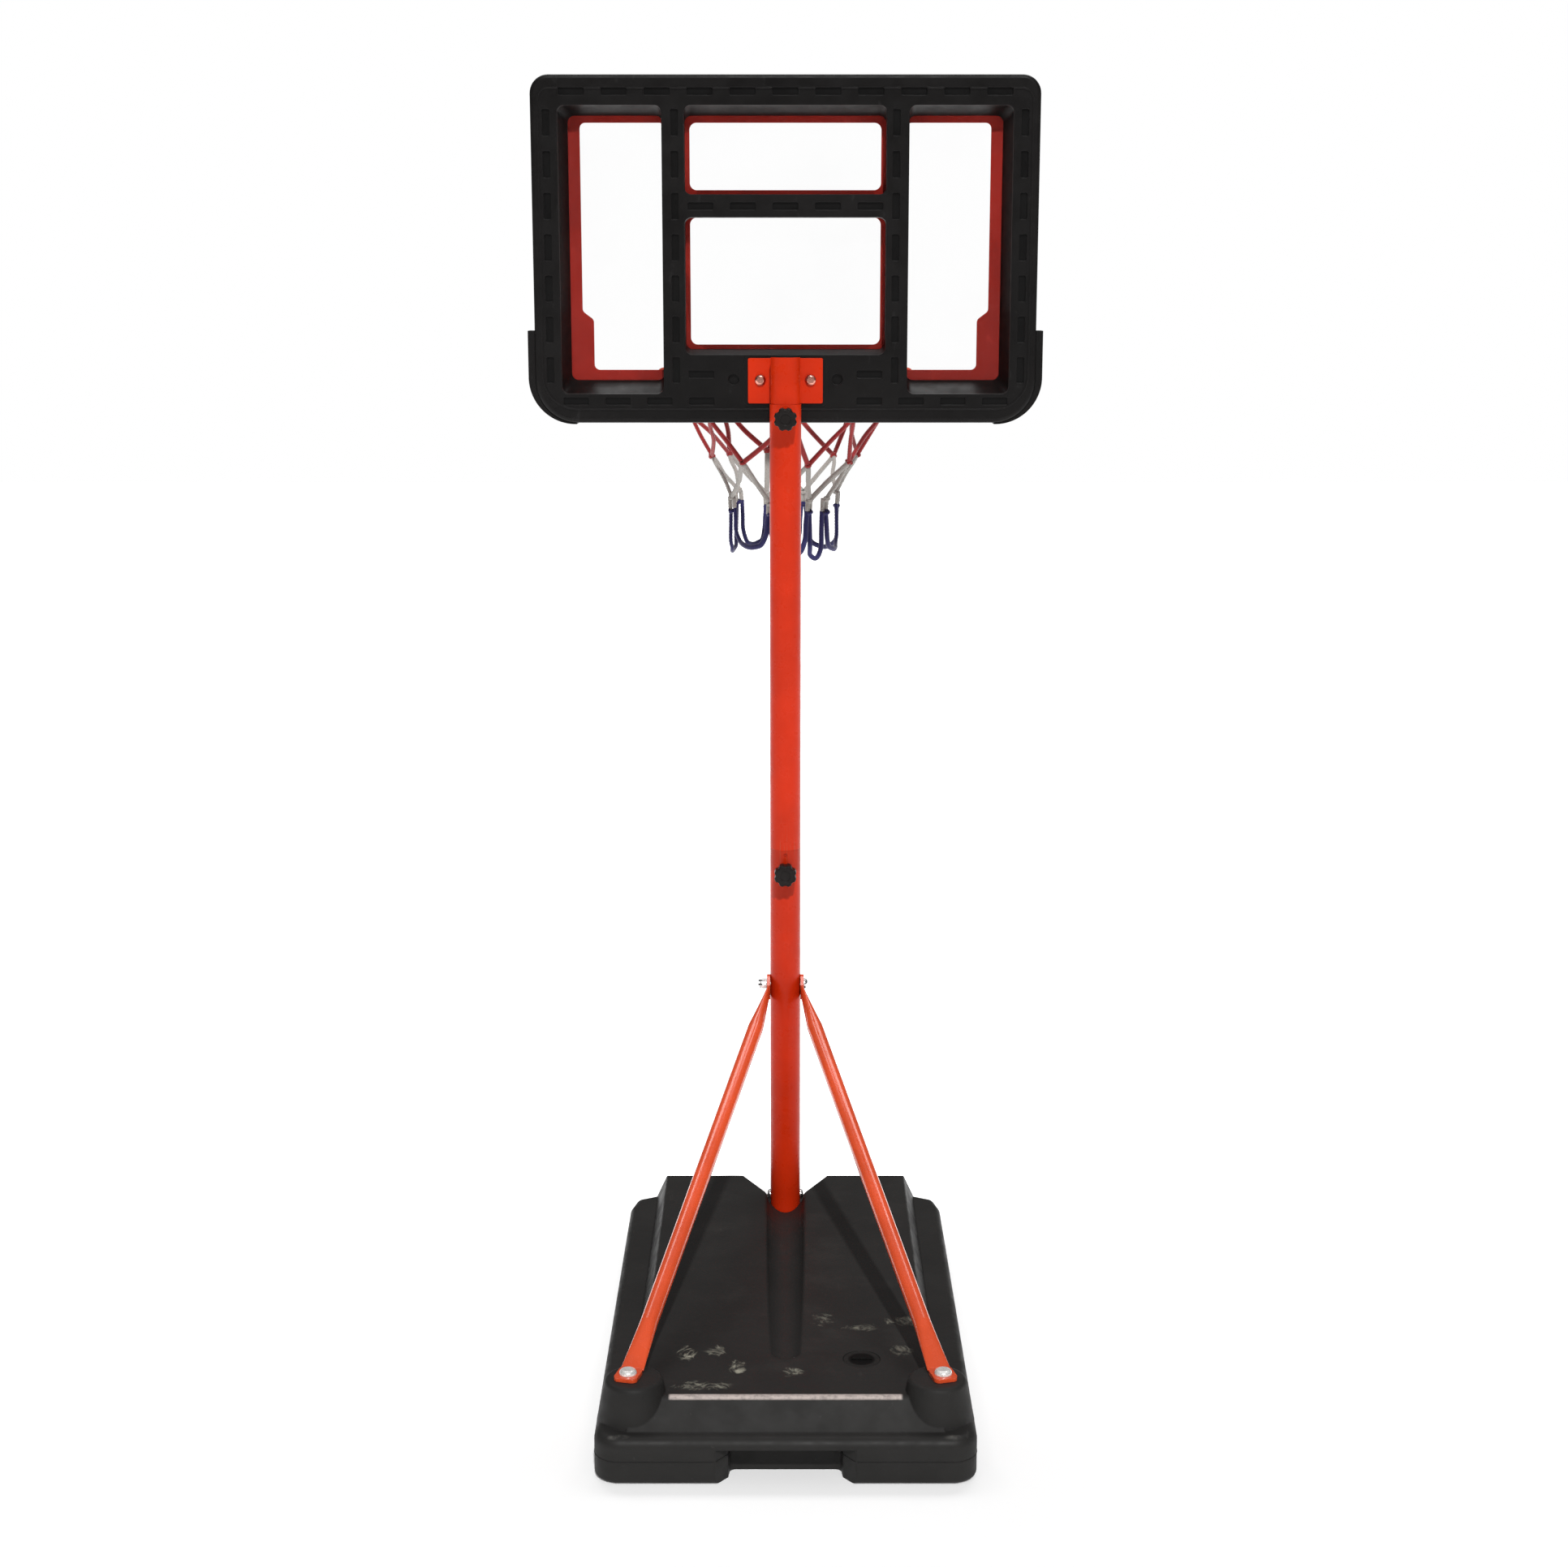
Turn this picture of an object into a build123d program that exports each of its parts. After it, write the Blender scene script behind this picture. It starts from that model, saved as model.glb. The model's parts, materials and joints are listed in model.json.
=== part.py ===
from build123d import *
import os
from math import cos, radians, sin, sqrt

# Portable basketball hoop on a ballast base, millimetres.
# The origin is on the floor under the pole's axis, +Z is up and +Y points from
# the pole towards the rim. +X is on the right of a person standing behind the base.

# ---- Driving dimensions ----------------------------------------------------

RUNNING_FIT = 0.05  # radial gap between a shaft and the hole it turns in
BOLT_GAP = 0.2  # radial gap between a bolt and the hole it passes through

# Base tank
BASE_HALF_WIDTH = 237.5
BASE_FRONT_Y = 62.0
BASE_REAR_Y = -738.0
TIER_TOP_Z = 60.0  # top of the low outer tier
PLATEAU_TOP_Z = 92.0
PLATEAU_TOP_HALF = 183.0
PLATEAU_FOOT_HALF = 200.0
PLATEAU_REAR_Y = -685.0
TANK_WALL = 5.0
TURRET_X = 190.0
TURRET_Y = -669.0
TURRET_TOP_Z = 110.0
TURRET_FOOT_RADIUS = 47.0
TURRET_TOP_RADIUS = 36.0
GROOVE_RADIUS = 28.0
GROOVE_REAR_Y = -560.0
GROOVE_RISE = 20.0  # the groove's axis climbs this much from the pole to its rear end
SEAT_Z = 60.0  # ledge that the pole's foot stands on
NOTCH_FRONT_HALF = 68.0
NOTCH_REAR_Y = -15.0
GRIP_HALF_WIDTH = 69.0
GRIP_HEIGHT = 46.0
GRIP_DEPTH = 40.0
FILLER_X = 98.0
FILLER_Y = -580.0
FILLER_RADIUS = 20.0
FILLER_RIM_RADIUS = 24.0
FILLER_RIM_DEPTH = 3.0
CAVITY_FRONT_Y = -24.0
CAVITY_REAR_Y = -686.0
CAVITY_TOP_Z = 86.0
LOW_ROOM_TOP_Z = 54.0
CORNER_ROOM_REAR_Y = -722.0
CORNER_ROOM_OUTER_X = 222.0
SIDE_ROOM_INNER_X = 34.0
SIDE_ROOM_OUTER_X = 178.0
SIDE_ROOM_REAR_Y = -620.0
FOOT_SCREW_Y = 12.0
FOOT_SCREW_RADIUS = 3.0
FOOT_SCREW_SINK = 8.0
FOOT_SCREW_GRIP = 14.0  # how far a foot screw reaches into the plug

# Wheels
WHEEL_X = 140.0
WHEEL_Y = 45.0
WHEEL_Z = 44.0
WHEEL_RADIUS = 40.0
WHEEL_WIDTH = 36.0
WELL_WIDTH = 48.0
WELL_LENGTH = 63.0
AXLE_CHANNEL = 20.0  # height of the open channel that the axle lies in
WHEEL_RIM_INNER = 31.0
WHEEL_HUB_RADIUS = 12.0
WHEEL_DISC_DEPTH = 11.0
WHEEL_SPOKES = 5
AXLE_RADIUS = 5.0
AXLE_HALF_LENGTH = 175.0
AXLE_RIB = 6.0  # thickness of the bearing rib outside each wheel

# Pole
POLE_RADIUS = 22.5
TUBE_WALL = 1.5
POLE_BORE = POLE_RADIUS - TUBE_WALL
SLIDER_RADIUS = POLE_BORE - 0.1  # a tube that slides inside the pole
SLIDER_BORE = SLIDER_RADIUS - TUBE_WALL
FOOT_Z = 63.0
POLE_JOINT_Z = 630.0
POLE_TOP_Z = 1279.0
SWAGE_BOTTOM_Z = 432.0
SWAGE_CONE = 8.0
POST_BOTTOM_Z = 900.0
POST_TOP_Z = 1345.0
FOOT_BOLT_Z = 85.0
PIVOT_Z = 420.0
BOLT_RADIUS = 4.0
HEIGHT_HOLE_PITCH = 50.0

# Clamp knobs
KNOB_LOWER_Z = 598.0
KNOB_UPPER_Z = 1260.0
KNOB_RADIUS = 16.5
KNOB_FLUTES = 8
KNOB_DEPTH = 17.0
KNOB_NEAR = 33.0  # distance of the knob's inner face from the pole's axis
BOSS_FACE = 28.5  # distance of the boss's outer face from the pole's axis
BOSS_RADIUS = 9.0

# Braces
BRACE_RADIUS = 11.5
BRACE_WALL = 1.2
BRACE_FLAT = 5.0  # thickness of the flattened ends
BRACE_FOOT_X = 197.0
BRACE_FOOT_WIDTH = 30.0
BRACE_HEAD_WIDTH = 28.0
BRACE_HEAD_FLARE = 80.0  # lengths over which the tube widens from flat to round
BRACE_FOOT_FLARE = 75.0

# Backboard
BOARD_REAR_Y = 23.0
BOARD_FACE_Y = 24.5  # the rear face between its raised lines
SHEET_Y = 58.0
SHEET_THICKNESS = 1.5
BOARD_FRONT_Y = 63.5
BOARD_HALF_WIDTH = 358.0
BOARD_BOTTOM_Z = 1251.0
BOARD_TOP_Z = 1733.0
BOARD_TOP_CORNER = 26.0
BOARD_BOTTOM_CORNER = 60.0
MOULD_WALL = 4.0
BRACKET_Z = 1311.0
BRACKET_WIDTH = 107.0
BRACKET_HEIGHT = 64.0
BRACKET_THICKNESS = 3.0
BRACKET_BOLT_X = 36.0
BRACKET_CORNER = 2.5
BRACKET_BOLT_Z = 1312.0
GUARD_TOP_Z = 1381.0
GUARD_HALF_WIDTH = 368.0
SLOT_LENGTH = 37.0
SLOT_WIDTH = 11.0
SLOT_DEPTH = 3.0

# Rim and net
RIM_RADIUS = 190.0
RIM_WIRE = 7.0
RIM_Y = 305.0
RIM_Z = 1312.0
HOOK_COUNT = 8
HOOK_RADIUS = 8.0
HOOK_WIRE = 1.5
NET_WALL = 5.0
# radius and height of the net's outside, from the hooks down
NET_PROFILE = [(176, 1292), (155, 1258), (106, 1173), (88, 1110), (90, 1050), (86, 1018)]

SIDES = {"left": -1, "right": 1}

os.makedirs("parts", exist_ok=True)


def facing_back(y):
    """The plane at a distance along +Y that faces a person behind the base."""
    return Plane.XZ.offset(-y)


# ---- Repeated hardware ------------------------------------------------------


def domed_bolt(plane, head_radius, head_height, shank_radius, shank_length):
    """A bolt whose domed head stands on the plane and whose shank runs behind it."""
    with BuildPart() as bolt:
        with BuildSketch(plane):
            Circle(head_radius)
        extrude(amount=head_height)
        crown = bolt.faces().sort_by(Axis(plane.origin, plane.z_dir))[-1]
        fillet(crown.edges(), radius=0.85 * head_height)
        with BuildSketch(plane):
            Circle(shank_radius)
        extrude(amount=-shank_length)
    return bolt


def hex_nut(plane, across_flats, height, bore):
    """A plain hexagon nut that stands on the plane."""
    with BuildPart() as nut:
        with BuildSketch(plane):
            RegularPolygon(radius=across_flats / 2, side_count=6, major_radius=False)
            Circle(bore, mode=Mode.SUBTRACT)
        extrude(amount=height)
    return nut


# ---- Base tank ---------------------------------------------------------------

with BuildPart() as lower_tier:
    with BuildSketch() as tier_outline:
        with BuildLine():
            Polyline(
                (-200, BASE_FRONT_Y),
                (200, BASE_FRONT_Y),
                (230, 46),
                (BASE_HALF_WIDTH, 12),
                (BASE_HALF_WIDTH, BASE_REAR_Y),
                (-BASE_HALF_WIDTH, BASE_REAR_Y),
                (-BASE_HALF_WIDTH, 12),
                (-230, 46),
                close=True,
            )
        make_face()
        fillet(tier_outline.vertices().group_by(Axis.Y)[0], radius=32)
        fillet(tier_outline.vertices().filter_by_position(Axis.Y, 10, 50), radius=14)
    extrude(amount=TIER_TOP_Z)
    fillet(lower_tier.edges().group_by(Axis.Z)[-1], radius=12)
    fillet(lower_tier.edges().group_by(Axis.Z)[0], radius=7)

with BuildPart() as plateau:
    with BuildSketch(facing_back(BASE_FRONT_Y)):
        with BuildLine():
            Polyline(
                (-PLATEAU_FOOT_HALF, TIER_TOP_Z - 15),
                (PLATEAU_FOOT_HALF, TIER_TOP_Z - 15),
                (PLATEAU_FOOT_HALF, TIER_TOP_Z - 5),
                (PLATEAU_TOP_HALF, PLATEAU_TOP_Z),
                (-PLATEAU_TOP_HALF, PLATEAU_TOP_Z),
                (-PLATEAU_FOOT_HALF, TIER_TOP_Z - 5),
                close=True,
            )
        make_face()
    extrude(amount=BASE_FRONT_Y - BASE_REAR_Y)
    with BuildSketch(Plane.YZ.offset(-BASE_HALF_WIDTH)):
        with BuildLine():
            Polyline(
                (BASE_FRONT_Y, TIER_TOP_Z - 15),
                (BASE_FRONT_Y, PLATEAU_TOP_Z),
                (PLATEAU_REAR_Y, PLATEAU_TOP_Z),
                (BASE_REAR_Y + 12, TIER_TOP_Z - 8),
                (BASE_REAR_Y + 12, TIER_TOP_Z - 15),
                close=True,
            )
        make_face()
    extrude(amount=2 * BASE_HALF_WIDTH, mode=Mode.INTERSECT)
    fillet(plateau.edges().group_by(Axis.Z)[-1], radius=5)

    # half-round groove behind the pole, shallower towards its rounded rear end
    groove_end = Vector(0, GROOVE_REAR_Y, PLATEAU_TOP_Z + GROOVE_RISE)
    groove_axis = Vector(0, -GROOVE_REAR_Y, -GROOVE_RISE).normalized()
    with BuildSketch(Plane(groove_end, x_dir=(1, 0, 0), z_dir=groove_axis)):
        Circle(GROOVE_RADIUS)
    extrude(amount=BASE_FRONT_Y - GROOVE_REAR_Y + 10, mode=Mode.SUBTRACT)
    with Locations(groove_end):
        Sphere(GROOVE_RADIUS, mode=Mode.SUBTRACT)
    groove_edges = (
        plateau.edges()
        .filter_by_position(Axis.Z, PLATEAU_TOP_Z - 0.1, PLATEAU_TOP_Z + 0.1)
        .filter_by(lambda edge: abs(edge.center().X) < GROOVE_RADIUS + 1)
        .filter_by(lambda edge: edge.center().Y < BASE_FRONT_Y - 10)
    )
    fillet(groove_edges, radius=4)

with BuildPart() as base_tank:
    add(lower_tier.part)
    add(plateau.part)
    with Locations((-TURRET_X, TURRET_Y, TIER_TOP_Z - 6), (TURRET_X, TURRET_Y, TIER_TOP_Z - 6)):
        Cone(
            TURRET_FOOT_RADIUS,
            TURRET_TOP_RADIUS,
            TURRET_TOP_Z - TIER_TOP_Z + 6,
            align=(Align.CENTER, Align.CENTER, Align.MIN),
        )
    fillet(base_tank.edges().group_by(Axis.Z)[-1], radius=6)

    # seat for the pole, open to the front in a V
    with BuildSketch(Plane.XY.offset(SEAT_Z)):
        with BuildLine():
            Polyline(
                (-NOTCH_FRONT_HALF, BASE_FRONT_Y + 1),
                (NOTCH_FRONT_HALF, BASE_FRONT_Y + 1),
                (GROOVE_RADIUS, NOTCH_REAR_Y),
                (-GROOVE_RADIUS, NOTCH_REAR_Y),
                close=True,
            )
        make_face()
    extrude(amount=PLATEAU_TOP_Z, mode=Mode.SUBTRACT)
    with BuildSketch(Plane.XY.offset(SEAT_Z)):
        Circle(POLE_RADIUS + 2)
    extrude(amount=PLATEAU_TOP_Z, mode=Mode.SUBTRACT)

    # hand grip under the rear edge
    with BuildSketch() as grip:
        with BuildLine():
            Polyline(
                (-GRIP_HALF_WIDTH, BASE_REAR_Y + GRIP_DEPTH),
                (GRIP_HALF_WIDTH, BASE_REAR_Y + GRIP_DEPTH),
                (GRIP_HALF_WIDTH + 2, BASE_REAR_Y + 20),
                (GRIP_HALF_WIDTH + 21, BASE_REAR_Y - 4),
                (-GRIP_HALF_WIDTH - 21, BASE_REAR_Y - 4),
                (-GRIP_HALF_WIDTH - 2, BASE_REAR_Y + 20),
                close=True,
            )
        make_face()
        fillet(grip.vertices().group_by(Axis.Y)[-1], radius=8)
    extrude(amount=GRIP_HEIGHT, mode=Mode.SUBTRACT)

    # wheel wells, and the axle channel that joins them across the front
    well_inner = WHEEL_X - WELL_WIDTH / 2
    well_outer = WHEEL_X + WELL_WIDTH / 2
    with BuildSketch() as wells:
        with Locations((-WHEEL_X, BASE_FRONT_Y + 1), (WHEEL_X, BASE_FRONT_Y + 1)):
            Rectangle(WELL_WIDTH, WELL_LENGTH, align=(Align.CENTER, Align.MAX))
    extrude(amount=WHEEL_Z + WHEEL_RADIUS + 4, mode=Mode.SUBTRACT)
    channel_depth = BASE_FRONT_Y + 1 - WHEEL_Y + AXLE_CHANNEL / 2
    with BuildSketch(Plane.XY.offset(WHEEL_Z - AXLE_CHANNEL / 2)):
        with Locations((0, BASE_FRONT_Y + 1)):
            Rectangle(2 * (well_inner - 10), channel_depth, align=(Align.CENTER, Align.MAX))
        pocket_x = well_outer + AXLE_RIB + 6
        with Locations((-pocket_x, BASE_FRONT_Y + 1), (pocket_x, BASE_FRONT_Y + 1)):
            Rectangle(12, channel_depth, align=(Align.CENTER, Align.MAX))
    extrude(amount=AXLE_CHANNEL, mode=Mode.SUBTRACT)
    with BuildSketch(Plane.YZ):
        with Locations((WHEEL_Y, WHEEL_Z)):
            Circle(AXLE_RADIUS + RUNNING_FIT)
    extrude(amount=AXLE_HALF_LENGTH, both=True, mode=Mode.SUBTRACT)

    # ballast space: a wide low room, two rooms beside the groove, two rear corners
    room_half = BASE_HALF_WIDTH - 1.5 * TANK_WALL
    corner_inner = GRIP_HALF_WIDTH + 5.6 * TANK_WALL
    side_middle = (SIDE_ROOM_INNER_X + SIDE_ROOM_OUTER_X) / 2
    with BuildSketch(Plane.XY.offset(TANK_WALL)):
        with Locations((0, (CAVITY_FRONT_Y + CAVITY_REAR_Y) / 2)):
            Rectangle(2 * room_half, CAVITY_FRONT_Y - CAVITY_REAR_Y)
        corner_x = (corner_inner + CORNER_ROOM_OUTER_X) / 2
        with Locations((-corner_x, CAVITY_REAR_Y + 1), (corner_x, CAVITY_REAR_Y + 1)):
            Rectangle(
                CORNER_ROOM_OUTER_X - corner_inner,
                CAVITY_REAR_Y + 1 - CORNER_ROOM_REAR_Y,
                align=(Align.CENTER, Align.MAX),
            )
    extrude(amount=LOW_ROOM_TOP_Z - TANK_WALL, mode=Mode.SUBTRACT)
    with BuildSketch(Plane.XY.offset(LOW_ROOM_TOP_Z - 2)):
        with Locations((-side_middle, CAVITY_FRONT_Y), (side_middle, CAVITY_FRONT_Y)):
            Rectangle(
                SIDE_ROOM_OUTER_X - SIDE_ROOM_INNER_X,
                CAVITY_FRONT_Y - SIDE_ROOM_REAR_Y,
                align=(Align.CENTER, Align.MAX),
            )
    extrude(amount=CAVITY_TOP_Z - LOW_ROOM_TOP_Z + 2, mode=Mode.SUBTRACT)

    # filler hole with a countersunk rim
    with BuildSketch(Plane.XY.offset(PLATEAU_TOP_Z)):
        with Locations((FILLER_X, FILLER_Y)):
            Circle(FILLER_RIM_RADIUS)
    extrude(amount=-FILLER_RIM_DEPTH, mode=Mode.SUBTRACT)
    with BuildSketch(Plane.XY.offset(PLATEAU_TOP_Z)):
        with Locations((FILLER_X, FILLER_Y)):
            Circle(FILLER_RADIUS)
    extrude(amount=-10, mode=Mode.SUBTRACT)

    # holes for the two foot screws, sunk from below, and for the brace bolts
    with BuildSketch():
        with Locations((0, -FOOT_SCREW_Y), (0, FOOT_SCREW_Y)):
            Circle(7)
    extrude(amount=FOOT_SCREW_SINK, mode=Mode.SUBTRACT)
    with BuildSketch():
        with Locations((0, -FOOT_SCREW_Y), (0, FOOT_SCREW_Y)):
            Circle(FOOT_SCREW_RADIUS + BOLT_GAP)
    extrude(amount=SEAT_Z, mode=Mode.SUBTRACT)
    with BuildSketch(Plane.XY.offset(TURRET_TOP_Z)):
        with Locations((-BRACE_FOOT_X, TURRET_Y), (BRACE_FOOT_X, TURRET_Y)):
            Circle(BOLT_RADIUS)
    extrude(amount=-35, mode=Mode.SUBTRACT)

with BuildPart() as filler_cap:
    rim_floor = PLATEAU_TOP_Z - FILLER_RIM_DEPTH
    with BuildSketch(Plane.XY.offset(rim_floor)):
        with Locations((FILLER_X, FILLER_Y)):
            Circle(FILLER_RIM_RADIUS - 0.5)
    extrude(amount=2.5)
    with BuildSketch(Plane.XY.offset(rim_floor)):
        with Locations((FILLER_X, FILLER_Y)):
            Circle(FILLER_RADIUS - RUNNING_FIT)
            Circle(FILLER_RADIUS - 3, mode=Mode.SUBTRACT)
    extrude(amount=-11)
    with BuildSketch(Plane.XY.offset(rim_floor + 2.5)):
        with Locations((FILLER_X, FILLER_Y)):
            Rectangle(26, 5)
    extrude(amount=2.5)
    fillet(filler_cap.edges().group_by(Axis.Z)[-1], radius=1)

# ---- Wheels and axle -----------------------------------------------------------


def make_wheel(x):
    """A moulded wheel with a recessed, ribbed disc on each side."""
    half = WHEEL_WIDTH / 2
    with BuildPart() as wheel:
        with BuildSketch(Plane.YZ.offset(x - half)):
            with Locations((WHEEL_Y, WHEEL_Z)):
                Circle(WHEEL_RADIUS)
        extrude(amount=WHEEL_WIDTH)
        fillet(wheel.edges(), radius=4)
        for face_x, depth in ((x - half, WHEEL_DISC_DEPTH), (x + half, -WHEEL_DISC_DEPTH)):
            with BuildSketch(Plane.YZ.offset(face_x)):
                with Locations((WHEEL_Y, WHEEL_Z)):
                    Circle(WHEEL_RIM_INNER)
                    Circle(WHEEL_HUB_RADIUS, mode=Mode.SUBTRACT)
                with Locations((WHEEL_Y, WHEEL_Z)):
                    with PolarLocations((WHEEL_RIM_INNER + WHEEL_HUB_RADIUS) / 2, WHEEL_SPOKES):
                        Rectangle(22, 4, mode=Mode.SUBTRACT)
            extrude(amount=depth, mode=Mode.SUBTRACT)
        with BuildSketch(Plane.YZ.offset(x - half)):
            with Locations((WHEEL_Y, WHEEL_Z)):
                Circle(AXLE_RADIUS + RUNNING_FIT)
        extrude(amount=WHEEL_WIDTH, mode=Mode.SUBTRACT)
    return wheel


with BuildPart() as wheel_axle:
    with BuildSketch(Plane.YZ):
        with Locations((WHEEL_Y, WHEEL_Z)):
            Circle(AXLE_RADIUS)
    extrude(amount=AXLE_HALF_LENGTH, both=True)


def make_axle_cap(side):
    """A push-on cap on the axle's end, just outside the bearing rib."""
    inner_x = WHEEL_X + WELL_WIDTH / 2 + AXLE_RIB
    plane = Plane((side * inner_x, WHEEL_Y, WHEEL_Z), x_dir=(0, 1, 0), z_dir=(side, 0, 0))
    with BuildPart() as cap:
        with BuildSketch(plane):
            Circle(8)
        extrude(amount=7.5)
        fillet(cap.faces().sort_by(Axis(plane.origin, plane.z_dir))[-1].edges(), radius=3)
        with BuildSketch(plane):
            Circle(AXLE_RADIUS)
        extrude(amount=AXLE_HALF_LENGTH - inner_x, mode=Mode.SUBTRACT)
    return cap


# ---- Foot of the pole -----------------------------------------------------------

with BuildPart() as foot_plug:
    with BuildSketch(Plane.XY.offset(SEAT_Z)):
        Circle(POLE_RADIUS + 1)
    extrude(amount=FOOT_Z - SEAT_Z)
    fillet(foot_plug.edges().group_by(Axis.Z)[-1], radius=1)
    with BuildSketch(Plane.XY.offset(SEAT_Z)):
        Circle(SLIDER_RADIUS)
    extrude(amount=38)
    with BuildSketch(Plane.XY.offset(SEAT_Z)):
        with Locations((0, -FOOT_SCREW_Y), (0, FOOT_SCREW_Y)):
            Circle(FOOT_SCREW_RADIUS)
    extrude(amount=FOOT_SCREW_GRIP, mode=Mode.SUBTRACT)
    with BuildSketch(Plane.YZ):
        with Locations((0, FOOT_BOLT_Z)):
            Circle(BOLT_RADIUS)
    extrude(amount=POLE_RADIUS, both=True, mode=Mode.SUBTRACT)


def make_foot_screw(y):
    """A screw from under the base up into the foot plug."""
    plane = Plane((0, y, FOOT_SCREW_SINK), z_dir=(0, 0, -1))
    length = SEAT_Z + FOOT_SCREW_GRIP - FOOT_SCREW_SINK
    return domed_bolt(plane, 6, 4, FOOT_SCREW_RADIUS, length)


cross_bolt_head = Plane((-POLE_RADIUS, 0, FOOT_BOLT_Z), x_dir=(0, 1, 0), z_dir=(-1, 0, 0))
foot_cross_bolt = domed_bolt(cross_bolt_head, 7.5, 4.5, BOLT_RADIUS, 2 * POLE_RADIUS + 3)

with BuildPart() as foot_cross_nut:
    with BuildSketch(Plane.YZ.offset(POLE_RADIUS)):
        with Locations((0, FOOT_BOLT_Z)):
            Circle(7.5)
    extrude(amount=4.5)
    fillet(foot_cross_nut.faces().sort_by(Axis.X)[-1].edges(), radius=3.8)
    with BuildSketch(Plane.YZ.offset(POLE_RADIUS)):
        with Locations((0, FOOT_BOLT_Z)):
            Circle(BOLT_RADIUS)
    extrude(amount=3, mode=Mode.SUBTRACT)

# ---- Pole tubes -------------------------------------------------------------------

with BuildPart() as lower_pole:
    with BuildSketch(Plane.XY.offset(FOOT_Z)):
        Circle(POLE_RADIUS)
        Circle(POLE_BORE, mode=Mode.SUBTRACT)
    extrude(amount=POLE_JOINT_Z - FOOT_Z)
    with BuildSketch(Plane.YZ):
        with Locations((0, PIVOT_Z), (0, FOOT_BOLT_Z)):
            Circle(BOLT_RADIUS)
    extrude(amount=POLE_RADIUS + 1, both=True, mode=Mode.SUBTRACT)
    with BuildSketch(facing_back(0)):
        with Locations((0, KNOB_LOWER_Z)):
            Circle(BOLT_RADIUS)
        with Locations((0, POLE_JOINT_Z - 7)):
            Circle(2.5)
    extrude(amount=POLE_RADIUS + 1, mode=Mode.SUBTRACT)

with BuildPart() as upper_pole:
    with BuildSketch(Plane.XZ):
        with BuildLine():
            Polyline(
                (SLIDER_BORE, SWAGE_BOTTOM_Z),
                (SLIDER_RADIUS, SWAGE_BOTTOM_Z),
                (SLIDER_RADIUS, POLE_JOINT_Z),
                (POLE_RADIUS, POLE_JOINT_Z),
                (POLE_RADIUS, POLE_TOP_Z),
                (POLE_BORE, POLE_TOP_Z),
                (POLE_BORE, POLE_JOINT_Z + SWAGE_CONE),
                (SLIDER_BORE, POLE_JOINT_Z),
                close=True,
            )
        make_face()
    revolve(axis=Axis.Z)
    lower_hole_zs = [KNOB_LOWER_Z - step * HEIGHT_HOLE_PITCH for step in range(1, 3)]
    with BuildSketch(facing_back(0)):
        with Locations((0, KNOB_UPPER_Z)):
            Circle(BOLT_RADIUS)
        with Locations(*[(0, z) for z in lower_hole_zs]):
            Circle(BOLT_RADIUS)
    extrude(amount=POLE_RADIUS + 1, mode=Mode.SUBTRACT)

with BuildPart() as board_post:
    with BuildSketch(Plane.XY.offset(POST_BOTTOM_Z)):
        Circle(SLIDER_RADIUS)
        Circle(SLIDER_BORE, mode=Mode.SUBTRACT)
    extrude(amount=POST_TOP_Z - POST_BOTTOM_Z)
    post_hole_zs = [KNOB_UPPER_Z - step * HEIGHT_HOLE_PITCH for step in range(1, 7)]
    with BuildSketch(facing_back(0)):
        with Locations(*[(0, z) for z in post_hole_zs]):
            Circle(BOLT_RADIUS)
    extrude(amount=POLE_RADIUS + 1, mode=Mode.SUBTRACT)

with BuildPart() as post_cap:
    with BuildSketch(Plane.XY.offset(POST_TOP_Z)):
        Circle(SLIDER_RADIUS)
    extrude(amount=3)
    fillet(post_cap.edges().group_by(Axis.Z)[-1], radius=2.5)
    with BuildSketch(Plane.XY.offset(POST_TOP_Z)):
        Circle(SLIDER_BORE)
    extrude(amount=-15)

# ---- Clamp knobs --------------------------------------------------------------------


def make_boss(z):
    """The threaded boss welded on the back of the pole."""
    with BuildPart() as boss:
        with BuildSketch(facing_back(-BOSS_FACE)):
            with Locations((0, z)):
                Circle(BOSS_RADIUS)
                Circle(BOLT_RADIUS, mode=Mode.SUBTRACT)
        extrude(amount=-10)
        with BuildSketch(Plane.XY.offset(z - BOSS_RADIUS)):
            Circle(POLE_RADIUS)
        extrude(amount=2 * BOSS_RADIUS, mode=Mode.SUBTRACT)
    return boss


def make_knob(z):
    """A fluted plastic knob with a collar behind it."""
    flute = 5
    with BuildPart() as knob:
        with BuildSketch(facing_back(-KNOB_NEAR)) as knob_outline:
            with Locations((0, z)):
                Circle(KNOB_RADIUS)
                with PolarLocations(KNOB_RADIUS + 0.6 * flute, KNOB_FLUTES):
                    Circle(flute, mode=Mode.SUBTRACT)
            fillet(knob_outline.vertices(), radius=1.6)
        extrude(amount=KNOB_DEPTH)
        fillet(knob.faces().sort_by(Axis.Y)[0].edges(), radius=2)
        with BuildSketch(facing_back(-KNOB_NEAR)):
            with Locations((0, z)):
                Circle(9)
        extrude(amount=BOSS_FACE + 1 - KNOB_NEAR)
        with BuildSketch(facing_back(-KNOB_NEAR - KNOB_DEPTH)):
            with Locations((0, z)):
                Circle(8)
        extrude(amount=-2, mode=Mode.SUBTRACT)
        with BuildSketch(facing_back(0)):
            with Locations((0, z)):
                Circle(BOLT_RADIUS - RUNNING_FIT)
        extrude(amount=KNOB_NEAR + 9, mode=Mode.SUBTRACT)
    return knob


def make_knob_screw(z):
    """The screw moulded into a knob; its tip ends level with the pole's bore."""
    with BuildPart() as screw:
        with BuildSketch(facing_back(-POLE_BORE - 0.1)):
            with Locations((0, z)):
                Circle(BOLT_RADIUS - RUNNING_FIT)
        extrude(amount=KNOB_NEAR + 9 - POLE_BORE - 0.1)
    return screw


# ---- Braces ---------------------------------------------------------------------------


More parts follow.
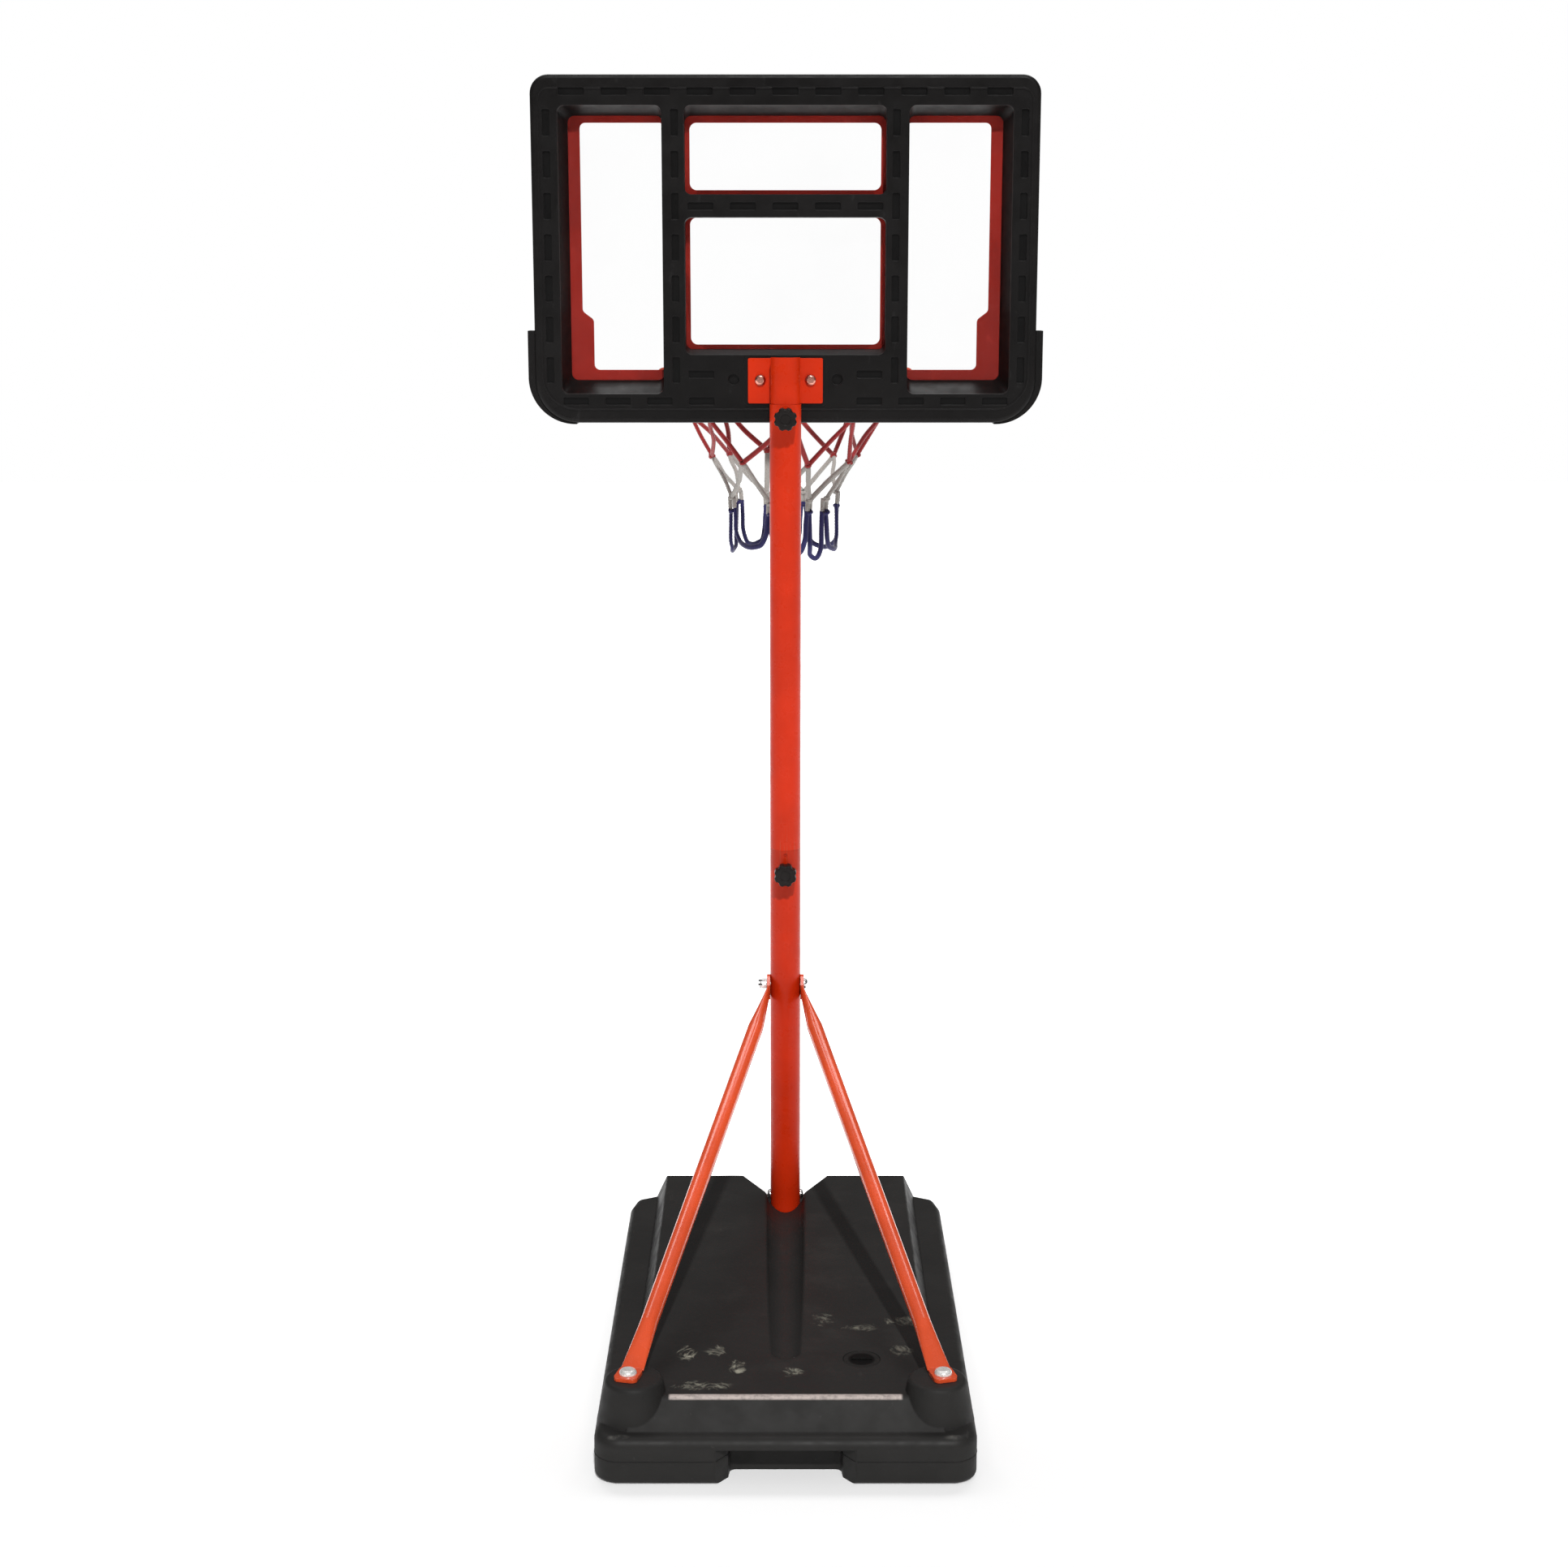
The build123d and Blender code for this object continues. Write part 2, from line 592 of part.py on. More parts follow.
def make_brace(side):
    """A round tube whose flattened ends lie on the pole's side and on a turret."""
    head = Vector(side * (POLE_RADIUS + BRACE_FLAT / 2), 0, PIVOT_Z)
    foot = Vector(side * BRACE_FOOT_X, TURRET_Y, TURRET_TOP_Z + BRACE_FLAT / 2)
    # the head tab lies flat on the pole, the foot tab lies flat on the turret
    fall = Vector(0, foot.Y - head.Y, foot.Z - head.Z).normalized()
    head_end = head + fall * 18
    plan = Vector(foot.X - head.X, foot.Y - head.Y, 0).normalized()
    foot_end = foot - plan * 17
    along = (foot_end - head_end).normalized()
    level = Vector(-plan.Y, plan.X, 0)
    tube_top = head_end + along * BRACE_HEAD_FLARE
    tube_end = foot_end - along * BRACE_FOOT_FLARE
    head_plane = Plane(head_end, x_dir=(1, 0, 0), z_dir=fall)
    tube_plane = Plane(tube_top, x_dir=level, z_dir=along)
    low_plane = Plane(tube_end, x_dir=level, z_dir=along)
    foot_plane = Plane(foot_end, x_dir=level, z_dir=plan)
    with BuildPart() as brace:
        with BuildSketch(tube_plane):
            Circle(BRACE_RADIUS)
        extrude(amount=(tube_end - tube_top).length)
        with BuildSketch(head_plane):
            Ellipse(BRACE_FLAT / 2, BRACE_HEAD_WIDTH / 2)
        with BuildSketch(tube_plane):
            Circle(BRACE_RADIUS)
        loft()
        with BuildSketch(low_plane):
            Circle(BRACE_RADIUS)
        with BuildSketch(foot_plane):
            Ellipse(BRACE_FOOT_WIDTH / 2, BRACE_FLAT / 2)
        loft()
        # head tab, with a round end about the pivot bolt
        tab_plane = Plane(head - Vector(BRACE_FLAT / 2, 0, 0), x_dir=fall, z_dir=(1, 0, 0))
        with BuildSketch(tab_plane):
            Circle(BRACE_HEAD_WIDTH / 2)
            Rectangle(20, BRACE_HEAD_WIDTH, align=(Align.MIN, Align.CENTER))
            Circle(BOLT_RADIUS + BOLT_GAP, mode=Mode.SUBTRACT)
        extrude(amount=BRACE_FLAT)
        # foot tab, square-ended with rounded corners
        turret_top = Plane((foot.X, foot.Y, TURRET_TOP_Z), x_dir=plan, z_dir=(0, 0, 1))
        with BuildSketch(turret_top) as foot_tab:
            with Locations((-18, 0)):
                Rectangle(34, BRACE_FOOT_WIDTH, align=(Align.MIN, Align.CENTER))
            fillet(foot_tab.vertices(), radius=7)
            Circle(BOLT_RADIUS + BOLT_GAP, mode=Mode.SUBTRACT)
        extrude(amount=BRACE_FLAT)
        # bore of the tube, closed at both ends by the flattened lengths
        with BuildSketch(tube_plane):
            Circle(BRACE_RADIUS - BRACE_WALL)
        extrude(amount=(tube_end - tube_top).length, mode=Mode.SUBTRACT)
    return brace


def make_brace_foot_bolt(side):
    """The domed bolt that holds a brace down on its turret."""
    plane = Plane((side * BRACE_FOOT_X, TURRET_Y, TURRET_TOP_Z + BRACE_FLAT))
    return domed_bolt(plane, 11, 6, BOLT_RADIUS, 38)


pivot_face = POLE_RADIUS + BRACE_FLAT
pivot_head = Plane((pivot_face, 0, PIVOT_Z), x_dir=(0, 1, 0), z_dir=(1, 0, 0))
brace_pivot_bolt = domed_bolt(pivot_head, 8, 6, BOLT_RADIUS, 2 * pivot_face + 8)

with BuildPart() as brace_wing_nut:
    nut_plane = Plane((-pivot_face, 0, PIVOT_Z), x_dir=(0, 1, 0), z_dir=(-1, 0, 0))
    with BuildSketch(nut_plane):
        Circle(7.5)
    extrude(amount=7)
    with BuildSketch(nut_plane.offset(1)):
        with Locations((-10, 0), (10, 0)):
            Rectangle(11, 3.5)
    extrude(amount=12)
    wings = brace_wing_nut.edges().filter_by(Axis.Z).group_by(Axis.X)[0]
    fillet(wings, radius=3)
    with BuildSketch(nut_plane):
        Circle(BOLT_RADIUS + RUNNING_FIT)
    extrude(amount=14, mode=Mode.SUBTRACT)

# ---- Backboard ------------------------------------------------------------------------


def board_outline(half_width, bottom_z, top_z, top_corner, bottom_corner):
    """The board's outline as a face: tight upper corners, wide lower corners."""
    with BuildSketch(mode=Mode.PRIVATE) as outline:
        with Locations((0, bottom_z)):
            Rectangle(2 * half_width, top_z - bottom_z, align=(Align.CENTER, Align.MIN))
        fillet(outline.vertices().group_by(Axis.Y)[-1], radius=top_corner)
        fillet(outline.vertices().group_by(Axis.Y)[0], radius=bottom_corner)
    return outline.sketch


def place_board_outline(inset, mode=Mode.ADD):
    """Puts the board's outline, set in by a margin, into the sketch being drawn."""
    add(
        board_outline(
            BOARD_HALF_WIDTH - inset,
            BOARD_BOTTOM_Z + inset,
            BOARD_TOP_Z - inset,
            max(BOARD_TOP_CORNER - inset, 8),
            BOARD_BOTTOM_CORNER - inset,
        ),
        mode=mode,
    )


def window(low_x, high_x, low_z, high_z, corner=10, mode=Mode.ADD):
    """A rounded rectangle given by its edges."""
    with Locations(((low_x + high_x) / 2, (low_z + high_z) / 2)):
        RectangleRounded(high_x - low_x, high_z - low_z, corner, mode=mode)


# Each window of the rear moulding: edges at its rear face, then at the clear sheet
SIDE_WINDOW = (174, 321, 1291, 1692)
SIDE_WINDOW_SHEET = (174, 308, 1310.5, 1679)
UPPER_WINDOW = (-142.6, 142.6, 1570, 1692)
UPPER_WINDOW_SHEET = (-142.6, 142.6, 1570, 1679)
LOWER_WINDOW = (-142.6, 142.6, 1347, 1538.5)
LOWER_WINDOW_SHEET = (-142.6, 142.6, 1354.5, 1538.5)

# Windows of the front panel; the side ones are narrower in their lower stretch
FRONT_SIDE_INNER_X = 171.0
FRONT_SIDE_OUTER_X = 291.5
FRONT_SIDE_STEP_X = 275.5
FRONT_SIDE_BOTTOM_Z = 1325.0
FRONT_WINDOW_TOP_Z = 1669.5
FRONT_UPPER_WINDOW = (-136, 136, 1577, FRONT_WINDOW_TOP_Z)
FRONT_LOWER_WINDOW = (-136, 136, 1361, 1539)


def mirrored(edges):
    """The same window on the other side of the board."""
    low_x, high_x, low_z, high_z = edges
    return (-high_x, -low_x, low_z, high_z)


WINDOW_PAIRS = [
    (SIDE_WINDOW, SIDE_WINDOW_SHEET),
    (mirrored(SIDE_WINDOW), mirrored(SIDE_WINDOW_SHEET)),
    (UPPER_WINDOW, UPPER_WINDOW_SHEET),
    (LOWER_WINDOW, LOWER_WINDOW_SHEET),
]

# Centres of the moulded slots, lying and standing
LYING_SLOTS = (
    [(60 * step, 1710) for step in range(-5, 6)]
    + [(60 * step, 1554) for step in range(-2, 3)]
    + [(side * 60 * step, 1282) for side in (-1, 1) for step in range(2, 6)]
    + [(side * 120, 1320) for side in (-1, 1)]
)
STANDING_SLOTS = [
    (side * x, 1326 + 57 * step) for side in (-1, 1) for x in (156, 336) for step in range(7)
]

with BuildPart() as backboard_frame:
    with BuildSketch(facing_back(SHEET_Y + SHEET_THICKNESS)):
        place_board_outline(0)
    extrude(amount=SHEET_Y + SHEET_THICKNESS - BOARD_FACE_Y)
    fillet(backboard_frame.faces().sort_by(Axis.Y)[0].edges(), radius=6)

    # thin raised line round the rear face, and the pad behind the bracket
    with BuildSketch(facing_back(BOARD_FACE_Y)):
        add(board_outline(348, BOARD_BOTTOM_Z + 18, BOARD_TOP_Z - 18, 16, 50))
        add(board_outline(346, BOARD_BOTTOM_Z + 20, BOARD_TOP_Z - 20, 14, 48), mode=Mode.SUBTRACT)
        with Locations((0, BRACKET_Z)):
            RectangleRounded(BRACKET_WIDTH + 12, BRACKET_HEIGHT + 8, 8)
    extrude(amount=BOARD_FACE_Y - BOARD_REAR_Y)

    for rear_edges, sheet_edges in WINDOW_PAIRS:
        with BuildSketch(facing_back(BOARD_REAR_Y)):
            window(*rear_edges)
        with BuildSketch(facing_back(SHEET_Y)):
            window(*sheet_edges)
        loft(mode=Mode.SUBTRACT)

    # bed for the clear sheet
    with BuildSketch(facing_back(SHEET_Y + SHEET_THICKNESS)):
        place_board_outline(12)
    extrude(amount=SHEET_THICKNESS, mode=Mode.SUBTRACT)

    # hollow inside the bars, open towards the sheet, with a post at each bolt
    with BuildSketch(facing_back(SHEET_Y)):
        place_board_outline(14)
        for low_x, high_x, low_z, high_z in [pair[0] for pair in WINDOW_PAIRS]:
            window(
                low_x - MOULD_WALL,
                high_x + MOULD_WALL,
                low_z - MOULD_WALL,
                high_z + MOULD_WALL,
                mode=Mode.SUBTRACT,
            )
        with Locations((-BRACKET_BOLT_X, BRACKET_BOLT_Z), (BRACKET_BOLT_X, BRACKET_BOLT_Z)):
            Circle(14, mode=Mode.SUBTRACT)
    extrude(amount=SHEET_Y - BOARD_FACE_Y - 7, mode=Mode.SUBTRACT)

    # moulded slots and the two round sockets
    with BuildSketch(facing_back(BOARD_FACE_Y - 2)):
        with Locations(*LYING_SLOTS):
            RectangleRounded(SLOT_LENGTH, SLOT_WIDTH, 2.5)
        with Locations(*STANDING_SLOTS):
            RectangleRounded(SLOT_WIDTH, SLOT_LENGTH, 2.5)
    extrude(amount=-SLOT_DEPTH - 2, mode=Mode.SUBTRACT)
    with BuildSketch(facing_back(BOARD_FACE_Y - 2)):
        with Locations((-74, BRACKET_BOLT_Z + 1), (74, BRACKET_BOLT_Z + 1)):
            Circle(8)
    extrude(amount=-7, mode=Mode.SUBTRACT)
    with BuildSketch(facing_back(BOARD_REAR_Y)):
        with Locations((-BRACKET_BOLT_X, BRACKET_BOLT_Z), (BRACKET_BOLT_X, BRACKET_BOLT_Z)):
            Circle(BOLT_RADIUS + BOLT_GAP)
    extrude(amount=-SHEET_Y, mode=Mode.SUBTRACT)

with BuildPart() as clear_sheet:
    with BuildSketch(facing_back(SHEET_Y + SHEET_THICKNESS)):
        place_board_outline(12.5)
        with Locations((-BRACKET_BOLT_X, BRACKET_BOLT_Z), (BRACKET_BOLT_X, BRACKET_BOLT_Z)):
            Circle(BOLT_RADIUS + BOLT_GAP, mode=Mode.SUBTRACT)
    extrude(amount=SHEET_THICKNESS)

with BuildPart() as backboard_front:
    with BuildSketch(facing_back(BOARD_FRONT_Y)) as front_face:
        place_board_outline(0.5)
        for side in (-1, 1):
            with BuildSketch(mode=Mode.PRIVATE) as stepped:
                with BuildLine():
                    Polyline(
                        (side * FRONT_SIDE_INNER_X, FRONT_SIDE_BOTTOM_Z),
                        (side * FRONT_SIDE_STEP_X, FRONT_SIDE_BOTTOM_Z),
                        (side * FRONT_SIDE_STEP_X, 1396),
                        (side * FRONT_SIDE_OUTER_X, 1408),
                        (side * FRONT_SIDE_OUTER_X, FRONT_WINDOW_TOP_Z),
                        (side * FRONT_SIDE_INNER_X, FRONT_WINDOW_TOP_Z),
                        close=True,
                    )
                make_face()
                fillet(stepped.vertices(), radius=8)
            add(stepped.sketch, mode=Mode.SUBTRACT)
        window(*FRONT_UPPER_WINDOW, mode=Mode.SUBTRACT)
        window(*FRONT_LOWER_WINDOW, mode=Mode.SUBTRACT)
        with Locations((-BRACKET_BOLT_X, BRACKET_BOLT_Z), (BRACKET_BOLT_X, BRACKET_BOLT_Z)):
            Circle(BOLT_RADIUS + BOLT_GAP, mode=Mode.SUBTRACT)
    extrude(amount=BOARD_FRONT_Y - SHEET_Y - SHEET_THICKNESS)
    chamfer(backboard_front.faces().sort_by(Axis.Y)[-1].edges(), length=1)


def make_corner_guard(side):
    """A bumper wrapped round one lower corner of the board."""
    with BuildPart() as guard:
        with BuildSketch(facing_back(SHEET_Y + 1)):
            add(board_outline(GUARD_HALF_WIDTH, BOARD_BOTTOM_Z - 2, BOARD_TOP_Z, 30, 66))
            place_board_outline(0, mode=Mode.SUBTRACT)
            with Locations((-side * 60, BOARD_TOP_Z)):
                Rectangle(720, 1000, mode=Mode.SUBTRACT)
            with Locations((0, GUARD_TOP_Z)):
                Rectangle(1000, 1000, align=(Align.CENTER, Align.MIN), mode=Mode.SUBTRACT)
        extrude(amount=SHEET_Y + 1 - BOARD_FACE_Y - 5)
    return guard


with BuildPart() as board_bracket:
    with BuildSketch(facing_back(BOARD_REAR_Y)):
        with Locations((0, BRACKET_Z)):
            RectangleRounded(BRACKET_WIDTH, BRACKET_HEIGHT, BRACKET_CORNER)
        with Locations((-BRACKET_BOLT_X, BRACKET_BOLT_Z), (BRACKET_BOLT_X, BRACKET_BOLT_Z)):
            Circle(BOLT_RADIUS + BOLT_GAP, mode=Mode.SUBTRACT)
    extrude(amount=BRACKET_THICKNESS)
    with BuildSketch(Plane.XY.offset(BRACKET_Z - BRACKET_HEIGHT)):
        Circle(SLIDER_RADIUS)
    extrude(amount=2 * BRACKET_HEIGHT, mode=Mode.SUBTRACT)

bracket_face = BOARD_REAR_Y - BRACKET_THICKNESS
rim_plate_face = BOARD_FRONT_Y + BRACKET_THICKNESS


def make_bracket_bolt(side):
    """A domed bolt through the bracket, the board and the rim's plate."""
    plane = Plane(
        (side * BRACKET_BOLT_X, bracket_face, BRACKET_BOLT_Z), x_dir=(1, 0, 0), z_dir=(0, -1, 0)
    )
    return domed_bolt(plane, 8, 4.5, BOLT_RADIUS, rim_plate_face - bracket_face + 8)


def make_bracket_nut(side):
    """The nut on a bracket bolt, in front of the rim's plate."""
    plane = Plane(
        (side * BRACKET_BOLT_X, rim_plate_face, BRACKET_BOLT_Z), x_dir=(1, 0, 0), z_dir=(0, 1, 0)
    )
    return hex_nut(plane, 13, 6.5, BOLT_RADIUS + RUNNING_FIT)


# ---- Rim, hooks and net ---------------------------------------------------------------

with BuildPart() as rim_ring:
    with Locations((0, RIM_Y, RIM_Z)):
        Torus(RIM_RADIUS, RIM_WIRE)

with BuildPart() as rim_bracket:
    with BuildSketch(facing_back(rim_plate_face)):
        with Locations((0, BRACKET_Z - 8)):
            RectangleRounded(124, 80, 8)
        with Locations((-BRACKET_BOLT_X, BRACKET_BOLT_Z), (BRACKET_BOLT_X, BRACKET_BOLT_Z)):
            Circle(BOLT_RADIUS + BOLT_GAP, mode=Mode.SUBTRACT)
    extrude(amount=BRACKET_THICKNESS)
    # tongue under the ring, and the web that holds it up
    with BuildSketch(Plane.XY.offset(RIM_Z - 24)):
        with Locations((0, rim_plate_face)):
            Rectangle(56, 54, align=(Align.CENTER, Align.MIN))
    extrude(amount=4)
    with BuildSketch(Plane.YZ.offset(-2)):
        with BuildLine():
            Polyline(
                (rim_plate_face, RIM_Z - 22),
                (rim_plate_face + 54, RIM_Z - 22),
                (rim_plate_face + 54, RIM_Z),
                (rim_plate_face + 40, RIM_Z),
                (rim_plate_face, RIM_Z + 20),
                close=True,
            )
        make_face()
    extrude(amount=4)
    with BuildSketch(Plane.YZ.offset(-2)):
        with BuildLine():
            Polyline(
                (rim_plate_face, RIM_Z - 24),
                (rim_plate_face, RIM_Z - 46),
                (rim_plate_face + 40, RIM_Z - 24),
                close=True,
            )
        make_face()
    extrude(amount=4)
    add(rim_ring.part, mode=Mode.SUBTRACT)


def make_rim_strut(side):
    """A rod from the rim's plate out to the side of the ring."""
    start = Vector(side * 50, rim_plate_face, RIM_Z - 32)
    end = Vector(side * 110, RIM_Y - sqrt(RIM_RADIUS**2 - 110**2), RIM_Z)
    with BuildPart() as strut:
        with BuildSketch(facing_back(rim_plate_face)):
            with Locations((start.X, start.Z)):
                Circle(5)
        extrude(amount=(end - start).length, dir=(end - start).normalized())
        add(rim_ring.part, mode=Mode.SUBTRACT)
    return strut


def make_net_hook(index):
    """A wire loop welded under the ring."""
    turn = radians(360 * (index + 0.5) / HOOK_COUNT)
    outward = Vector(sin(turn), cos(turn), 0)
    centre = Vector(0, RIM_Y, RIM_Z - RIM_WIRE) + outward * RIM_RADIUS
    with BuildPart() as hook:
        with Locations(Plane(centre, x_dir=(0, 0, 1), z_dir=outward)):
            Torus(HOOK_RADIUS, HOOK_WIRE)
        split(bisect_by=Plane(centre + Vector(0, 0, 3)), keep=Keep.BOTTOM)
        add(rim_ring.part, mode=Mode.SUBTRACT)
    return hook


with BuildPart() as net:
    with BuildSketch(Plane.YZ):
        with BuildLine():
            Polyline(
                *[(RIM_Y + radius, z) for radius, z in NET_PROFILE],
                *[(RIM_Y + radius - NET_WALL, z) for radius, z in reversed(NET_PROFILE)],
                close=True,
            )
        make_face()
    revolve(axis=Axis((0, RIM_Y, 0), (0, 0, 1)))

# ---- Named pieces ------------------------------------------------------------------------

pieces = {
    "base_tank": base_tank,
    "filler_cap": filler_cap,
    "wheel_axle": wheel_axle,
    "foot_plug": foot_plug,
    "foot_screw_front": make_foot_screw(FOOT_SCREW_Y),
    "foot_screw_rear": make_foot_screw(-FOOT_SCREW_Y),
    "foot_cross_bolt": foot_cross_bolt,
    "foot_cross_nut": foot_cross_nut,
    "lower_pole": lower_pole,
    "upper_pole": upper_pole,
    "board_post": board_post,
    "post_cap": post_cap,
    "brace_pivot_bolt": brace_pivot_bolt,
    "brace_wing_nut": brace_wing_nut,
    "backboard_frame": backboard_frame,
    "backboard_front": backboard_front,
    "clear_sheet": clear_sheet,
    "board_bracket": board_bracket,
    "rim_ring": rim_ring,
    "rim_bracket": rim_bracket,
    "net": net,
}
for place, z in {"lower": KNOB_LOWER_Z, "upper": KNOB_UPPER_Z}.items():
    pieces[f"clamp_boss_{place}"] = make_boss(z)
    pieces[f"knob_{place}"] = make_knob(z)
    pieces[f"knob_screw_{place}"] = make_knob_screw(z)
for name, side in SIDES.items():
    pieces[f"wheel_{name}"] = make_wheel(side * WHEEL_X)
    pieces[f"axle_cap_{name}"] = make_axle_cap(side)
    pieces[f"brace_{name}"] = make_brace(side)
    pieces[f"brace_foot_bolt_{name}"] = make_brace_foot_bolt(side)
    pieces[f"corner_guard_{name}"] = make_corner_guard(side)
    pieces[f"bracket_bolt_{name}"] = make_bracket_bolt(side)
    pieces[f"bracket_nut_{name}"] = make_bracket_nut(side)
    pieces[f"rim_strut_{name}"] = make_rim_strut(side)
for index in range(HOOK_COUNT):
    pieces[f"net_hook_{index + 1:02d}"] = make_net_hook(index)

for label, piece in pieces.items():
    piece.part.label = label
    export_step(piece.part, f"parts/{label}.step")
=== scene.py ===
import json
import math
import random

import bmesh
import bpy
from mathutils import Matrix, Vector


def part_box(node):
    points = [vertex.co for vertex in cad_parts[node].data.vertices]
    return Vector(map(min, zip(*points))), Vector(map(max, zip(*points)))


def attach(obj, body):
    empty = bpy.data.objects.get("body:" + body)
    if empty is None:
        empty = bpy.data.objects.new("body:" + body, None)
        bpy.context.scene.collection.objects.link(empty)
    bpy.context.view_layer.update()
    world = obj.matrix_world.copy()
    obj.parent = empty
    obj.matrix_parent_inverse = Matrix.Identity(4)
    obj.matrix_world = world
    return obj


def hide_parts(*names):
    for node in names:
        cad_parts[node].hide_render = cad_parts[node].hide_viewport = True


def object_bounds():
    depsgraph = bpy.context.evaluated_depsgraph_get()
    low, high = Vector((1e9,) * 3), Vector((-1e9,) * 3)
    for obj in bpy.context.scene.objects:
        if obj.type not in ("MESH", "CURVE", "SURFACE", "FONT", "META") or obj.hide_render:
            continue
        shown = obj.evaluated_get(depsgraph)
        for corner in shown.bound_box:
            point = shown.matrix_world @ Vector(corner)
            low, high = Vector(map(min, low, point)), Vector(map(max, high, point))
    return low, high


# Portable basketball hoop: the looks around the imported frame.
# Metres, +Z up, +Y towards the rim, origin on the floor under the pole.

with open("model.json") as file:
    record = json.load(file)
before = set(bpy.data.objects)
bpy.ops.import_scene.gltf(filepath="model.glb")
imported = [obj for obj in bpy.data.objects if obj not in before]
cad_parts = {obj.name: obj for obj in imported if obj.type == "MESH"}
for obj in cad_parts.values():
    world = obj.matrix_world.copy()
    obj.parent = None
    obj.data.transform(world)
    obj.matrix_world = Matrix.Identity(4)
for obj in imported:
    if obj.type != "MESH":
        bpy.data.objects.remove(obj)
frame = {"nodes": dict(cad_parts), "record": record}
cad_low, cad_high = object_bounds()
nodes = frame["nodes"]
rng = random.Random(20)

# ---- Places read from the frame ------------------------------------------------

ring_low, ring_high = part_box("rim_ring")
RIM_WIRE = (ring_high.z - ring_low.z) / 2
RIM_CENTRE = (ring_low + ring_high) / 2
RIM_RADIUS = (ring_high.x - ring_low.x) / 2 - RIM_WIRE
hook_low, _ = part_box("net_hook_01")
HOOK_SEAT_Z = hook_low.z + 0.0045  # where a cord lies in the bottom of a hook
HOOK_COUNT = sum(name.startswith("net_hook_") for name in nodes)
net_low, net_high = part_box("net")
NET_REACH = (net_high.x - net_low.x) / 2
tank_low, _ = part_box("base_tank")
pole_low, pole_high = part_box("lower_pole")
post_low, post_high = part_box("board_post")
bracket_low, bracket_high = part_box("board_bracket")
plate_low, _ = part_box("rim_bracket")
strut_low, strut_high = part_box("rim_strut_right")
frame_low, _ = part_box("backboard_frame")
cap_low, cap_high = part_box("filler_cap")
SLOT_TOP_Y = frame_low.y + 0.0030  # just inside the mouths of the frame's moulded slots
POLE_RADIUS = (pole_high.x - pole_low.x) / 2
POLE_JOINT_Z = pole_high.z

# ---- Camera, lights and floor -----------------------------------------------------

CAMERA_PLACE = Vector((-0.002, -3.410, 1.452))
CAMERA_PITCH = 12.02  # degrees below the horizon
CAMERA_LENS = 54.35
SENSOR_WIDTH = 36.0


def add_camera():
    """The viewpoint: behind the base at eye height, looking slightly down."""
    camera = bpy.data.objects.new("camera", bpy.data.cameras.new("camera"))
    bpy.context.scene.collection.objects.link(camera)
    camera.location = CAMERA_PLACE
    camera.rotation_euler = (math.radians(90 - CAMERA_PITCH), 0, 0)
    camera.data.lens = CAMERA_LENS
    camera.data.sensor_width = SENSOR_WIDTH
    camera.data.clip_start = 0.05
    bpy.context.scene.camera = camera


def add_softbox(name, place, target, width, depth, power, diffuse, gloss):
    """A rectangular soft light that points at a target."""
    lamp = bpy.data.lights.new(name, "AREA")
    lamp.shape = "RECTANGLE"
    lamp.size = width
    lamp.size_y = depth
    lamp.energy = power
    lamp.diffuse_factor = diffuse
    lamp.specular_factor = gloss
    light = bpy.data.objects.new(name, lamp)
    bpy.context.scene.collection.objects.link(light)
    light.location = place
    aim = Vector(target) - Vector(place)
    light.rotation_euler = aim.to_track_quat("-Z", "Y").to_euler()


def add_sun(name, place, spread, strength):
    """An even light that points at the origin from a direction, spread over some degrees."""
    lamp = bpy.data.lights.new(name, "SUN")
    lamp.angle = math.radians(spread)
    lamp.energy = strength
    light = bpy.data.objects.new(name, lamp)
    bpy.context.scene.collection.objects.link(light)
    light.location = place
    light.rotation_euler = (-Vector(place)).to_track_quat("-Z", "Y").to_euler()


def add_world(horizon, zenith, backdrop):
    """Light that is brighter overhead than at the horizon; the backdrop itself looks white."""
    world = bpy.data.worlds.new("studio")
    bpy.context.scene.world = world
    world.use_nodes = True
    tree = world.node_tree
    tree.nodes.clear()
    output = tree.nodes.new("ShaderNodeOutputWorld")
    mix = tree.nodes.new("ShaderNodeMixShader")
    path = tree.nodes.new("ShaderNodeLightPath")
    direction = tree.nodes.new("ShaderNodeTexCoord")
    split = tree.nodes.new("ShaderNodeSeparateXYZ")
    rise = tree.nodes.new("ShaderNodeMapRange")
    lit = tree.nodes.new("ShaderNodeBackground")
    seen = tree.nodes.new("ShaderNodeBackground")
    rise.interpolation_type = "SMOOTHSTEP"
    rise.inputs["From Min"].default_value = 0.35
    rise.inputs["From Max"].default_value = 0.95
    rise.inputs["To Min"].default_value = horizon
    rise.inputs["To Max"].default_value = zenith
    lit.inputs["Color"].default_value = (1, 1, 1, 1)
    seen.inputs["Color"].default_value = (1, 1, 1, 1)
    seen.inputs["Strength"].default_value = backdrop
    tree.links.new(direction.outputs["Generated"], split.inputs[0])
    tree.links.new(split.outputs["Z"], rise.inputs["Value"])
    tree.links.new(rise.outputs[0], lit.inputs["Strength"])
    tree.links.new(path.outputs["Is Camera Ray"], mix.inputs[0])
    tree.links.new(lit.outputs[0], mix.inputs[1])
    tree.links.new(seen.outputs[0], mix.inputs[2])
    tree.links.new(mix.outputs[0], output.inputs["Surface"])


# ---- Material building -----------------------------------------------------------


